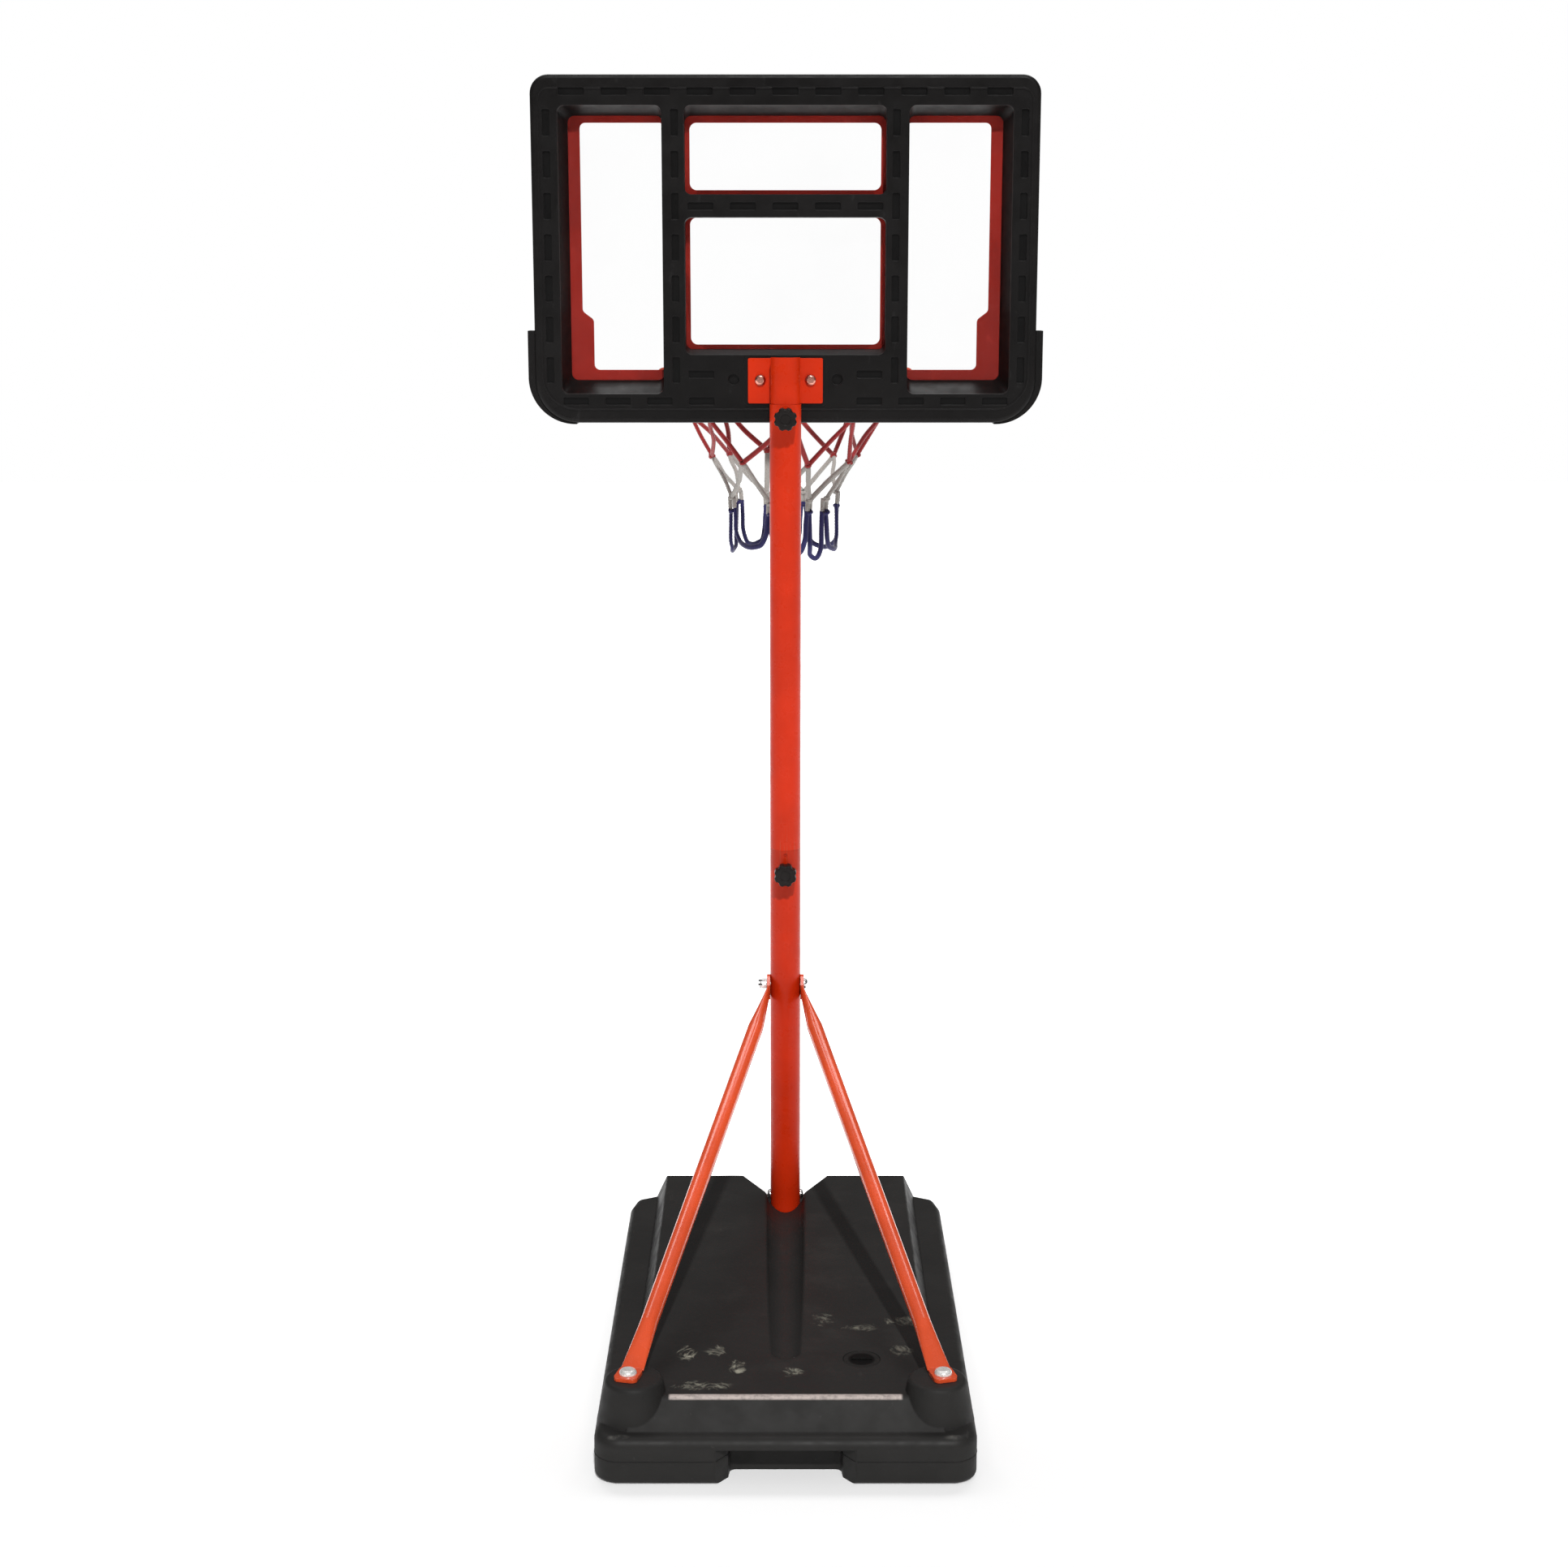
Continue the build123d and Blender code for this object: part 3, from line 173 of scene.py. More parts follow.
class Surface:
    """Builds one node material. Coordinates are the row frame's, in metres."""

    def __init__(self, name, roughness=0.5, metallic=0.0, specular=0.5):
        self.material = bpy.data.materials.new(name)
        self.material.use_nodes = True
        self.tree = self.material.node_tree
        self.tree.nodes.clear()
        self.shader = self.tree.nodes.new("ShaderNodeBsdfPrincipled")
        output = self.tree.nodes.new("ShaderNodeOutputMaterial")
        self.tree.links.new(self.shader.outputs[0], output.inputs["Surface"])
        self.place = self.tree.nodes.new("ShaderNodeTexCoord").outputs["Object"]
        self.normal = self.tree.nodes.new("ShaderNodeNewGeometry").outputs["Normal"]
        self.set("Roughness", roughness)
        self.set("Metallic", metallic)
        self.set("Specular IOR Level", specular)

    def put(self, socket, value):
        """Feeds a socket from another node's output, or gives it a fixed value."""
        if isinstance(value, bpy.types.NodeSocket):
            self.tree.links.new(value, socket)
        elif isinstance(value, tuple) and len(value) == 3 and socket.type == "RGBA":
            socket.default_value = (*value, 1)
        else:
            socket.default_value = value

    def set(self, name, value):
        self.put(self.shader.inputs[name], value)

    def math(self, operation, a, b=0.0):
        node = self.tree.nodes.new("ShaderNodeMath")
        node.operation = operation
        self.put(node.inputs[0], a)
        self.put(node.inputs[1], b)
        return node.outputs[0]

    def product(self, *factors):
        result = factors[0]
        for factor in factors[1:]:
            result = self.math("MULTIPLY", result, factor)
        return result

    def axis(self, index, source=None):
        node = self.tree.nodes.new("ShaderNodeSeparateXYZ")
        self.put(node.inputs[0], self.place if source is None else source)
        return node.outputs[index]

    def stretched(self, x, y, z):
        """The place, scaled along each axis, for grain that runs one way."""
        node = self.tree.nodes.new("ShaderNodeMapping")
        self.put(node.inputs["Vector"], self.place)
        node.inputs["Scale"].default_value = (x, y, z)
        return node.outputs[0]

    def noise(self, scale, detail=3.0, roughness=0.55, source=None, distortion=0.0):
        node = self.tree.nodes.new("ShaderNodeTexNoise")
        self.put(node.inputs["Vector"], self.place if source is None else source)
        node.inputs["Scale"].default_value = scale
        node.inputs["Detail"].default_value = detail
        node.inputs["Roughness"].default_value = roughness
        node.inputs["Distortion"].default_value = distortion
        return node.outputs["Fac"]

    def spot(self, centre, radii):
        """How far a place is from a centre in X and Y, where 1 is the ellipse's edge."""
        parts = []
        for index in (0, 1):
            offset = self.math("SUBTRACT", self.axis(index), centre[index])
            parts.append(self.math("POWER", self.math("DIVIDE", offset, radii[index]), 2.0))
        return self.math("ADD", *parts)

    def cells(self, scale, source=None):
        node = self.tree.nodes.new("ShaderNodeTexVoronoi")
        self.put(node.inputs["Vector"], self.place if source is None else source)
        node.inputs["Scale"].default_value = scale
        return node.outputs["Distance"]

    def ramp(self, value, low, high, out_low=0.0, out_high=1.0):
        """A smooth step: out_low below low, out_high above high."""
        node = self.tree.nodes.new("ShaderNodeMapRange")
        node.interpolation_type = "SMOOTHSTEP"
        self.put(node.inputs["Value"], value)
        node.inputs["From Min"].default_value = low
        node.inputs["From Max"].default_value = high
        node.inputs["To Min"].default_value = out_low
        node.inputs["To Max"].default_value = out_high
        return node.outputs[0]

    def blend(self, factor, a, b):
        node = self.tree.nodes.new("ShaderNodeMix")
        node.data_type = "RGBA"
        self.put(node.inputs[0], factor)
        self.put(node.inputs[6], a)
        self.put(node.inputs[7], b)
        return node.outputs[2]

    def rounded(self, radius):
        """The normal with the edges rounded over, and a mask of those edges."""
        soft = self.tree.nodes.new("ShaderNodeBevel")
        soft.samples = 4
        soft.inputs["Radius"].default_value = radius
        turn = self.tree.nodes.new("ShaderNodeVectorMath")
        turn.operation = "DOT_PRODUCT"
        self.put(turn.inputs[0], soft.outputs[0])
        self.put(turn.inputs[1], self.normal)
        return soft.outputs[0], self.ramp(turn.outputs["Value"], 0.99, 0.86)

    def bump(self, height, distance, strength=1.0, under=None):
        node = self.tree.nodes.new("ShaderNodeBump")
        node.inputs["Distance"].default_value = distance
        node.inputs["Strength"].default_value = strength
        self.put(node.inputs["Height"], height)
        if under is not None:
            self.put(node.inputs["Normal"], under)
        return node.outputs[0]


def painted_steel(name, colour, worn_colour, roughness, specular=0.13, coat=0.0):
    """Powder coat with slight orange peel, rub marks along the tubes and a few chips."""
    s = Surface(name, specular=specular)
    s.set("Coat Weight", coat)
    s.set("Coat Roughness", 0.10)
    cloud = s.ramp(s.noise(9, 3), 0.35, 0.65)
    paint = s.blend(cloud, colour, tuple(0.86 * c for c in colour))
    # rubbing where tubes slide, just above and below the pole's joint
    z = s.axis(2)
    near_joint = s.product(
        s.ramp(z, POLE_JOINT_Z - 0.05, POLE_JOINT_Z - 0.005),
        s.ramp(z, POLE_JOINT_Z + 0.10, POLE_JOINT_Z + 0.005),
    )
    streaks = s.ramp(s.noise(1, 4, 0.6, s.stretched(700, 700, 14)), 0.60, 0.68)
    scuffs = s.ramp(s.noise(1, 3, 0.6, s.stretched(240, 240, 60)), 0.69, 0.74)
    wear_and_highlight = s.math("MAXIMUM", s.product(near_joint, streaks), s.product(scuffs, 0.18))
    paint = s.blend(s.product(wear_and_highlight, 0.55), paint, worn_colour)
    # a darker band just below the top of the lower pole
    darkening = s.product(
        s.ramp(z, POLE_JOINT_Z - 0.036, POLE_JOINT_Z - 0.030),
        s.ramp(z, POLE_JOINT_Z + 0.0005, POLE_JOINT_Z - 0.0005),
    )
    paint = s.blend(s.product(darkening, 0.40), paint, tuple(0.45 * c for c in colour))
    chips = s.ramp(s.cells(95, s.stretched(1, 1, 0.7)), 0.030, 0.015)
    chips = s.product(chips, s.ramp(s.noise(14), 0.66, 0.72))
    paint = s.blend(chips, paint, (0.09, 0.08, 0.08))
    s.set("Base Color", paint)
    s.set("Roughness", s.ramp(s.noise(60, 4), 0.3, 0.7, roughness - 0.05, roughness + 0.08))
    peel = s.bump(s.noise(420, 2), 0.00012, 0.25, s.rounded(0.001)[0])
    s.set("Normal", s.bump(chips, 0.0002, 0.6, peel))
    return s.material


def moulded_plastic(name, colour, roughness, specular=0.25, slots=None):
    """Moulded plastic with a fine grain, faint flow marks and handling marks. slots gives
    the two depths in Y between which painted shade darkens the bottoms of moulded slots."""
    s = Surface(name, specular=specular)
    flow = s.ramp(s.noise(7, 4, 0.6, distortion=0.6), 0.35, 0.7)
    body = s.blend(flow, colour, tuple(1.35 * c + 0.001 for c in colour))
    rub = s.ramp(s.noise(1, 4, 0.65, s.stretched(60, 60, 25)), 0.62, 0.75)
    pale = tuple(min(1.0, 1.6 * c + 0.012) for c in colour)
    body = s.blend(s.product(rub, 0.5), body, pale)
    # painted shade darkens the slot bottoms, and a painted highlight lightens the slot walls just
    # inside their mouths
    if slots:
        y = s.axis(1)
        inside = s.product(
            s.ramp(y, slots[0], slots[0] + 0.0006), s.ramp(y, slots[1], slots[1] - 0.0006)
        )
        body = s.blend(s.product(inside, 0.75), body, tuple(0.25 * c for c in colour))
        wall = s.ramp(s.math("ABSOLUTE", s.axis(1, s.normal)), 0.75, 0.35)
        lip_highlight = s.product(
            s.ramp(y, slots[0] - 0.0012, slots[0] - 0.0006),
            s.ramp(y, slots[0] + 0.0018, slots[0] + 0.0008),
        )
        body = s.blend(s.product(wall, lip_highlight, 0.8), body, tuple(6 * c + 0.012 for c in colour))
    soft, edges = s.rounded(0.0016)
    body = s.blend(s.product(edges, 0.55), body, tuple(2.5 * c + 0.010 for c in colour))
    s.set("Base Color", body)
    s.set("Roughness", s.ramp(s.noise(35, 4), 0.3, 0.7, roughness - 0.06, roughness + 0.08))
    wave = s.bump(s.noise(18, 2), 0.0012, 0.35, soft)
    s.set("Normal", s.bump(s.noise(900, 2), 0.00012, 0.6, wave))
    return s.material


# Dried smudges on the base's top: centre, from its middle in X and its rear edge in Y,
# then radii and strength
SMUDGES = [
    ((-0.128, 0.172), (0.016, 0.030), 0.9),
    ((-0.090, 0.182), (0.022, 0.020), 0.55),
    ((-0.061, 0.134), (0.016, 0.026), 0.9),
    ((0.010, 0.120), (0.018, 0.018), 0.65),
    ((-0.105, 0.083), (0.050, 0.018), 0.6),
    ((0.050, 0.276), (0.020, 0.026), 0.45),
    ((0.100, 0.251), (0.034, 0.016), 0.45),
    ((0.158, 0.270), (0.036, 0.020), 0.4),
    ((0.150, 0.182), (0.020, 0.024), 0.35),
]


def tank_plastic(name):
    """Charcoal blow-moulded plastic, smudged towards the rear, with a painted highlight along its
    rear edge and painted glints on its rear corners.
    """
    s = Surface(name, specular=0.16)
    x = s.math("ABSOLUTE", s.axis(0))
    y = s.axis(1)
    z = s.axis(2)
    top = s.product(s.ramp(s.axis(2, s.normal), 0.90, 0.98), s.ramp(z, 0.080, 0.088))
    flow = s.ramp(s.noise(5, 4, 0.6, distortion=0.8), 0.3, 0.7)
    body = s.blend(flow, (0.0155, 0.0148, 0.0141), (0.0200, 0.0191, 0.0182))
    haze = s.ramp(s.noise(11, 5, 0.6), 0.50, 0.72)
    body = s.blend(s.product(haze, top, 0.14), body, (0.065, 0.060, 0.055))
    # faint long rubs along the sides and top
    rubs = s.ramp(s.noise(1, 4, 0.65, s.stretched(90, 14, 90)), 0.64, 0.76)
    body = s.blend(s.product(rubs, 0.30), body, (0.050, 0.047, 0.044))
    curls = s.noise(34, 7, 0.72, distortion=3.2)
    # painted glints: pale spots on the rounded rear corners of the lower tier stand in for the
    # highlights there
    for side in (-1, 1):
        corner = s.spot((side * 0.206, tank_low.y + 0.010), (0.013, 0.005))
        painted_glint = s.product(s.ramp(corner, 1.4, 0.1), s.ramp(z, 0.05, 0.056))
        patchy = s.ramp(s.noise(60, 4), 0.3, 0.7)
        body = s.blend(s.product(painted_glint, patchy, 0.38), body, (0.24, 0.23, 0.21))
    for (across, ahead), radii, strength in SMUDGES:
        centre = (across, tank_low.y + ahead)
        inside = s.ramp(s.spot(centre, radii), 1.5, 0.0, -0.25, 0.06)
        ragged = s.ramp(s.math("ADD", curls, inside), 0.49, 0.72)
        body = s.blend(s.product(ragged, top, strength), body, (0.36, 0.35, 0.28))
    # a painted highlight: a pale line along the plateau's rounded rear edge
    edge_y = tank_low.y + 0.0545
    line = s.ramp(s.math("ABSOLUTE", s.math("SUBTRACT", y, edge_y)), 0.0056, 0.0030)
    line = s.product(line, s.ramp(z, 0.084, 0.088), s.ramp(x, 0.147, 0.143))
    wear_and_highlight = s.ramp(s.noise(160, 4, 0.7), 0.25, 0.60, 0.55, 1.0)
    body = s.blend(s.product(line, wear_and_highlight), body, (0.50, 0.43, 0.40))
    s.set("Base Color", body)
    s.set("Roughness", s.ramp(s.noise(40, 4), 0.3, 0.7, 0.46, 0.60))
    wave = s.bump(s.noise(14, 3), 0.003, 0.30, s.rounded(0.003)[0])
    pits = s.bump(s.noise(150, 3), 0.0003, 0.35, wave)
    s.set("Normal", s.bump(s.noise(1100, 2), 0.00010, 0.5, pits))
    return s.material


def filler_plastic(name):
    """The filler cap: its flange is dull like the base, its dished middle nearly black."""
    s = Surface(name, roughness=0.6, specular=0.1)
    reach = (cap_high.x - cap_low.x) / 2
    centre = ((cap_low.x + cap_high.x) / 2, (cap_low.y + cap_high.y) / 2)
    dish = s.ramp(s.spot(centre, (0.74 * reach, 0.74 * reach)), 1.15, 0.75)
    grit = s.ramp(s.noise(220, 4), 0.3, 0.7)
    flange = s.blend(grit, (0.0150, 0.0142, 0.0136), (0.0195, 0.0186, 0.0178))
    s.set("Base Color", s.blend(dish, flange, (0.0025, 0.0023, 0.0023)))
    s.set("Normal", s.bump(s.noise(900, 2), 0.0001, 0.5, s.rounded(0.001)[0]))
    return s.material


def zinc_plate(name, bright=(0.82, 0.81, 0.80), metallic=1.0):
    """Zinc plate with dull patches and fine turning marks."""
    s = Surface(name, metallic=metallic)
    dull = s.ramp(s.noise(130, 4, 0.6), 0.4, 0.65)
    s.set("Base Color", s.blend(dull, bright, tuple(0.7 * c for c in bright)))
    s.set("Roughness", s.ramp(dull, 0, 1, 0.22, 0.42))
    s.set("Normal", s.bump(s.noise(1500, 2), 0.00006, 0.5))
    return s.material


def clear_plastic(name):
    """A thin clear sheet with a faint haze and fine wiping scratches."""
    s = Surface(name, roughness=0.08, specular=0.25)
    haze = s.ramp(s.noise(6, 4, 0.6), 0.4, 0.75, 0.010, 0.022)
    scratches = s.ramp(s.noise(1, 3, 0.6, s.stretched(900, 900, 30)), 0.70, 0.76, 0.0, 0.02)
    s.set("Base Color", (0.30, 0.33, 0.33))
    s.set("Alpha", s.math("ADD", haze, scratches))
    s.set("Roughness", s.ramp(s.noise(50, 3), 0.3, 0.7, 0.06, 0.16))
    return s.material


def braided_cord(name, colour, shade):
    """Polyester braid: crossing yarns, a soft sheen and a little dirt."""
    s = Surface(name, roughness=0.75, specular=0.25)
    yarn = s.noise(1, 2, 0.5, s.stretched(1300, 1300, 700))
    body = s.blend(s.ramp(yarn, 0.35, 0.65), shade, colour)
    darkening = s.ramp(s.noise(28, 4, 0.6), 0.52, 0.75)
    body = s.blend(s.product(darkening, 0.35), body, tuple(0.55 * c + 0.02 for c in colour))
    s.set("Base Color", body)
    s.set("Sheen Weight", 0.35)
    s.set("Sheen Roughness", 0.5)
    s.set("Normal", s.bump(yarn, 0.0003, 0.7))
    return s.material


def studio_floor(name):
    """A pale, slightly uneven studio sweep that glows, more brightly away from the base."""
    s = Surface(name, roughness=0.65, specular=0.2)
    cloud = s.ramp(s.noise(0.8, 3), 0.3, 0.7)
    s.set("Base Color", s.blend(cloud, (0.93, 0.93, 0.93), (0.90, 0.90, 0.90)))
    # painted light: the sweep glows faintly near the base and fully further out, so that it meets
    # the backdrop and the shadows cast on it fade out
    s.set("Emission Color", (1.0, 1.0, 1.0))
    s.set("Emission Strength", s.ramp(s.spot((0, -0.55), (1, 1)), 0.32, 0.95, 0.16, 1.00))
    s.set("Normal", s.bump(s.noise(90, 2), 0.0002, 0.2))
    return s.material


materials = {
    "red_paint": painted_steel("red_paint", (0.535, 0.024, 0.003), (0.30, 0.10, 0.06), 0.30),
    # painted light: the braces' red paint is made lighter and more orange than the pole's, standing
    # in for the extra light that their upward-tilted tubes catch
    "brace_paint": painted_steel(
        "brace_paint", (0.70, 0.078, 0.020), (0.45, 0.22, 0.15), 0.24, specular=0.35, coat=0.5
    ),
    "rim_paint": painted_steel("rim_paint", (0.62, 0.050, 0.006), (0.30, 0.12, 0.06), 0.34),
    "zinc_steel": zinc_plate("zinc_steel"),
    "base_plastic": tank_plastic("base_plastic"),
    "wheel_plastic": moulded_plastic("wheel_plastic", (0.013, 0.013, 0.013), 0.5),
    "cap_plastic": moulded_plastic("cap_plastic", (0.0035, 0.0032, 0.0032), 0.6, 0.08),
    "knob_plastic": moulded_plastic("knob_plastic", (0.0070, 0.0052, 0.0046), 0.42, 0.15),
    "frame_plastic": moulded_plastic(
        "frame_plastic", (0.0036, 0.0031, 0.0030), 0.44, 0.13, (SLOT_TOP_Y, SLOT_TOP_Y + 0.0035)
    ),
    # painted shade: the panel's red is made dark, standing in for the shade that it lies in behind
    # the frame
    "panel_plastic": moulded_plastic("panel_plastic", (0.195, 0.009, 0.005), 0.35, 0.14),
    "clear_plastic": clear_plastic("clear_plastic"),
}
# nodes that are finished unlike the rest of their slot
own_materials = {
    "bracket_bolt": zinc_plate("stained_zinc", (0.62, 0.27, 0.21)),
    "filler_cap": filler_plastic("filler_plastic"),
    # partly painted highlight: zinc made half diffuse and near white, standing in for the glare on
    # the domed heads of the brace foot bolts
    "brace_foot_bolt": zinc_plate("zinc_with_painted_glare", (0.92, 0.90, 0.87), 0.45),
    "brace_left": materials["brace_paint"],
    "brace_right": materials["brace_paint"],
}
CORD_COLOURS = {
    "red": ((0.30, 0.014, 0.014), (0.19, 0.008, 0.008)),
    "white": ((0.38, 0.365, 0.34), (0.26, 0.25, 0.23)),
    "navy": ((0.018, 0.016, 0.110), (0.009, 0.009, 0.060)),
}
cord_materials = {
    name: braided_cord(f"cord_{name}", colour, shade)
    for name, (colour, shade) in CORD_COLOURS.items()
}


def finish_frame():
    """Gives every CAD node the material of its slot."""
    for entry in frame["record"]["subparts"]:
        slot = entry["material_slot"]
        if slot in materials:
            mesh = nodes[entry["node"]].data
            mesh.materials.clear()
            chosen = materials[slot]
            for start, material in own_materials.items():
                if entry["node"].startswith(start):
                    chosen = material
            mesh.materials.append(chosen)


# ---- Mesh building ---------------------------------------------------------------


def new_piece(name, mesh, body, material):
    """A finished piece that rides on a body."""
    piece = bpy.data.objects.new(name, mesh)
    bpy.context.scene.collection.objects.link(piece)
    mesh.materials.append(material)
    for face in mesh.polygons:
        face.use_smooth = True
    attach(piece, body)
    return piece


def smooth_path(points, step, closed=False):
    """Even samples of a Catmull-Rom curve through the points."""
    count = len(points)
    dense = []
    spans = count if closed else count - 1
    for i in range(spans):
        if closed:
            p = [points[(i + k) % count] for k in (-1, 0, 1, 2)]
        else:
            p = [points[min(max(i + k, 0), count - 1)] for k in (-1, 0, 1, 2)]
        for j in range(24):
            t = j / 24
            dense.append(
                0.5
                * (
                    2 * p[1]
                    + (p[2] - p[0]) * t
                    + (2 * p[0] - 5 * p[1] + 4 * p[2] - p[3]) * t**2
                    + (3 * p[1] - p[0] - 3 * p[2] + p[3]) * t**3
                )
            )
    dense.append(points[0].copy() if closed else points[-1].copy())
    lengths = [0.0]
    for a, b in zip(dense, dense[1:]):
        lengths.append(lengths[-1] + (b - a).length)
    total = lengths[-1]
    samples = max(3, round(total / step))
    result = []
    k = 0
    for i in range(samples + (0 if closed else 1)):
        at = total * i / samples
        while k < len(lengths) - 2 and lengths[k + 1] < at:
            k += 1
        span = max(lengths[k + 1] - lengths[k], 1e-9)
        result.append(dense[k].lerp(dense[k + 1], (at - lengths[k]) / span))
    return result


def sweep(bm, path, outward, section, closed=False):
    """Sweeps a section along a path. outward(point) is the side that the section's flat
    faces; section(distance) gives the section's (across, out) points at that distance."""
    rings = []
    distance = 0.0
    count = len(path)
    for i, point in enumerate(path):
        ahead = path[(i + 1) % count] if closed or i < count - 1 else point
        behind = path[i - 1] if closed or i > 0 else point
        tangent = (ahead - behind).normalized()
        normal = outward(point)
        normal = (normal - tangent * normal.dot(tangent)).normalized()
        across = tangent.cross(normal)
        if i > 0:
            distance += (point - path[i - 1]).length
        rings.append(
            [bm.verts.new(point + across * u + normal * v) for u, v in section(distance)]
        )
    sides = len(rings[0])
    loops = list(zip(rings, rings[1:]))
    if closed:
        loops.append((rings[-1], rings[0]))
    for first, second in loops:
        for k in range(sides):
            m = (k + 1) % sides
            bm.faces.new((first[k], first[m], second[m], second[k]))
    if not closed:
        bm.faces.new(list(reversed(rings[0])))
        bm.faces.new(rings[-1])


def finish_mesh(bm, name):
    """Turns a bmesh into a mesh whose faces all point outwards."""
    bmesh.ops.recalc_face_normals(bm, faces=bm.faces)
    mesh = bpy.data.meshes.new(name)
    bm.to_mesh(mesh)
    bm.free()
    return mesh


# ---- Net --------------------------------------------------------------------------

CORD_WIDTH = 0.0080
CORD_THICKNESS = 0.0060
BRAID_PITCH = 0.0050
CORD_SIDES = 12


def braid_section(width, thickness, twist, phase):
    """The section of a flat braid: crossing yarns make its surface rise and fall."""

    def section(distance):
        turn = twist * math.sin(distance * 22 + phase)
        points = []
        for k in range(CORD_SIDES):
            a = 2 * math.pi * k / CORD_SIDES
            side = math.cos(a)
            weave = math.cos(2 * math.pi * (distance / BRAID_PITCH + 0.5 * abs(side)))
            swell = 1 + 0.10 * weave * (1 if math.sin(a) >= 0 else -1)
            u = 0.5 * width * math.copysign(abs(side) ** 0.8, side)
            v = 0.5 * thickness * math.sin(a) * swell
            points.append(
                (u * math.cos(turn) - v * math.sin(turn), u * math.sin(turn) + v * math.cos(turn))
            )
        return points

    return section


def from_net_axis(point):
    """The direction straight out from the net's axis."""
    return Vector((point.x - RIM_CENTRE.x, point.y - RIM_CENTRE.y, 0.0001)).normalized()


def net_point(turn, radius, z):
    """A point on the net: turn in degrees from +Y towards +X."""
    angle = math.radians(turn)
    return Vector(
        (RIM_CENTRE.x + radius * math.sin(angle), RIM_CENTRE.y + radius * math.cos(angle), z)
    )


# Radius and height of each row of knots, from the hooks down, then how far each
# knot of a row has slipped round from its even place, in degrees
NET_ROWS = [
    (RIM_RADIUS, HOOK_SEAT_Z, [0] * HOOK_COUNT),
    (NET_REACH - 0.024, net_high.z - 0.042, [4, -2, 6, 3, -4, 5, 2, 4]),
    (NET_REACH - 0.060, net_high.z - 0.109, [20, 17, 12, 5, 11, 22, 18, 8]),
    (NET_REACH - 0.091, net_high.z - 0.170, [20, 30, 43, 20, 16, 31, 30, 25]),
]
LOOP_RADIUS = NET_REACH - 0.092
LOOP_LOW_Z = net_low.z + CORD_WIDTH / 2 + 0.002
# How far above that each loop's lowest point hangs
LOOP_LIFTS = [0.012, 0.017, 0.007, 0.014, 0.0235, 0.011, 0.016, 0.009]


def net_rows():
    """Every knot of the net, row by row. Odd rows sit half a step round."""
    step = 360 / HOOK_COUNT
    rows = []
    for row, (radius, z, slips) in enumerate(NET_ROWS):
        half = 0.5 if row % 2 == 0 else 0.0
        knots = []
        for k in range(HOOK_COUNT):
            loose = 0 if row == 0 else 1
            knots.append(
                net_point(
                    (k + half) * step + slips[k],
                    radius + loose * rng.uniform(-0.003, 0.003),
                    z + loose * rng.uniform(-0.006, 0.005),
                )
            )
        rows.append(knots)
    return rows


def add_cord(bm, points, twist=0.45):
    """One flat braided cord along a smooth path through the points."""
    path = smooth_path(points, 0.0022)
    width = CORD_WIDTH * rng.uniform(0.9, 1.08)
    section = braid_section(width, CORD_THICKNESS, rng.uniform(-twist, twist), rng.uniform(0, 6))
    sweep(bm, path, from_net_axis, section)


def add_knot(bm, centre, radius=0.0038, turns=1.5, height=0.0060):
    """A cord wound tightly round the cords that meet at a knot."""
    lean = Vector((rng.uniform(-0.3, 0.3), rng.uniform(-0.3, 0.3), 1)).normalized()
    side = lean.orthogonal().normalized()
    other = lean.cross(side)
    start = rng.uniform(0, 2 * math.pi)
    points = []
    for i in range(int(turns * 8) + 1):
        a = start + 2 * math.pi * i / 8
        along = height * (i / (turns * 8) - 0.5)
        points.append(
            centre + side * radius * math.cos(a) + other * radius * math.sin(a) + lean * along
        )
    section = braid_section(0.0050, 0.0034, 0.1, 0)
    sweep(bm, smooth_path(points, 0.0014), lambda p: p - centre, section)


def slack(a, b, sag, bow):
    """A point between two knots, let down and pushed out a little."""
    middle = (a + b) / 2
    return middle + from_net_axis(middle) * bow - Vector((0, 0, sag))


def turn_of(point):
    """How far round the net a point lies, in degrees from +Y towards +X."""
    return math.degrees(math.atan2(point.x - RIM_CENTRE.x, point.y - RIM_CENTRE.y))


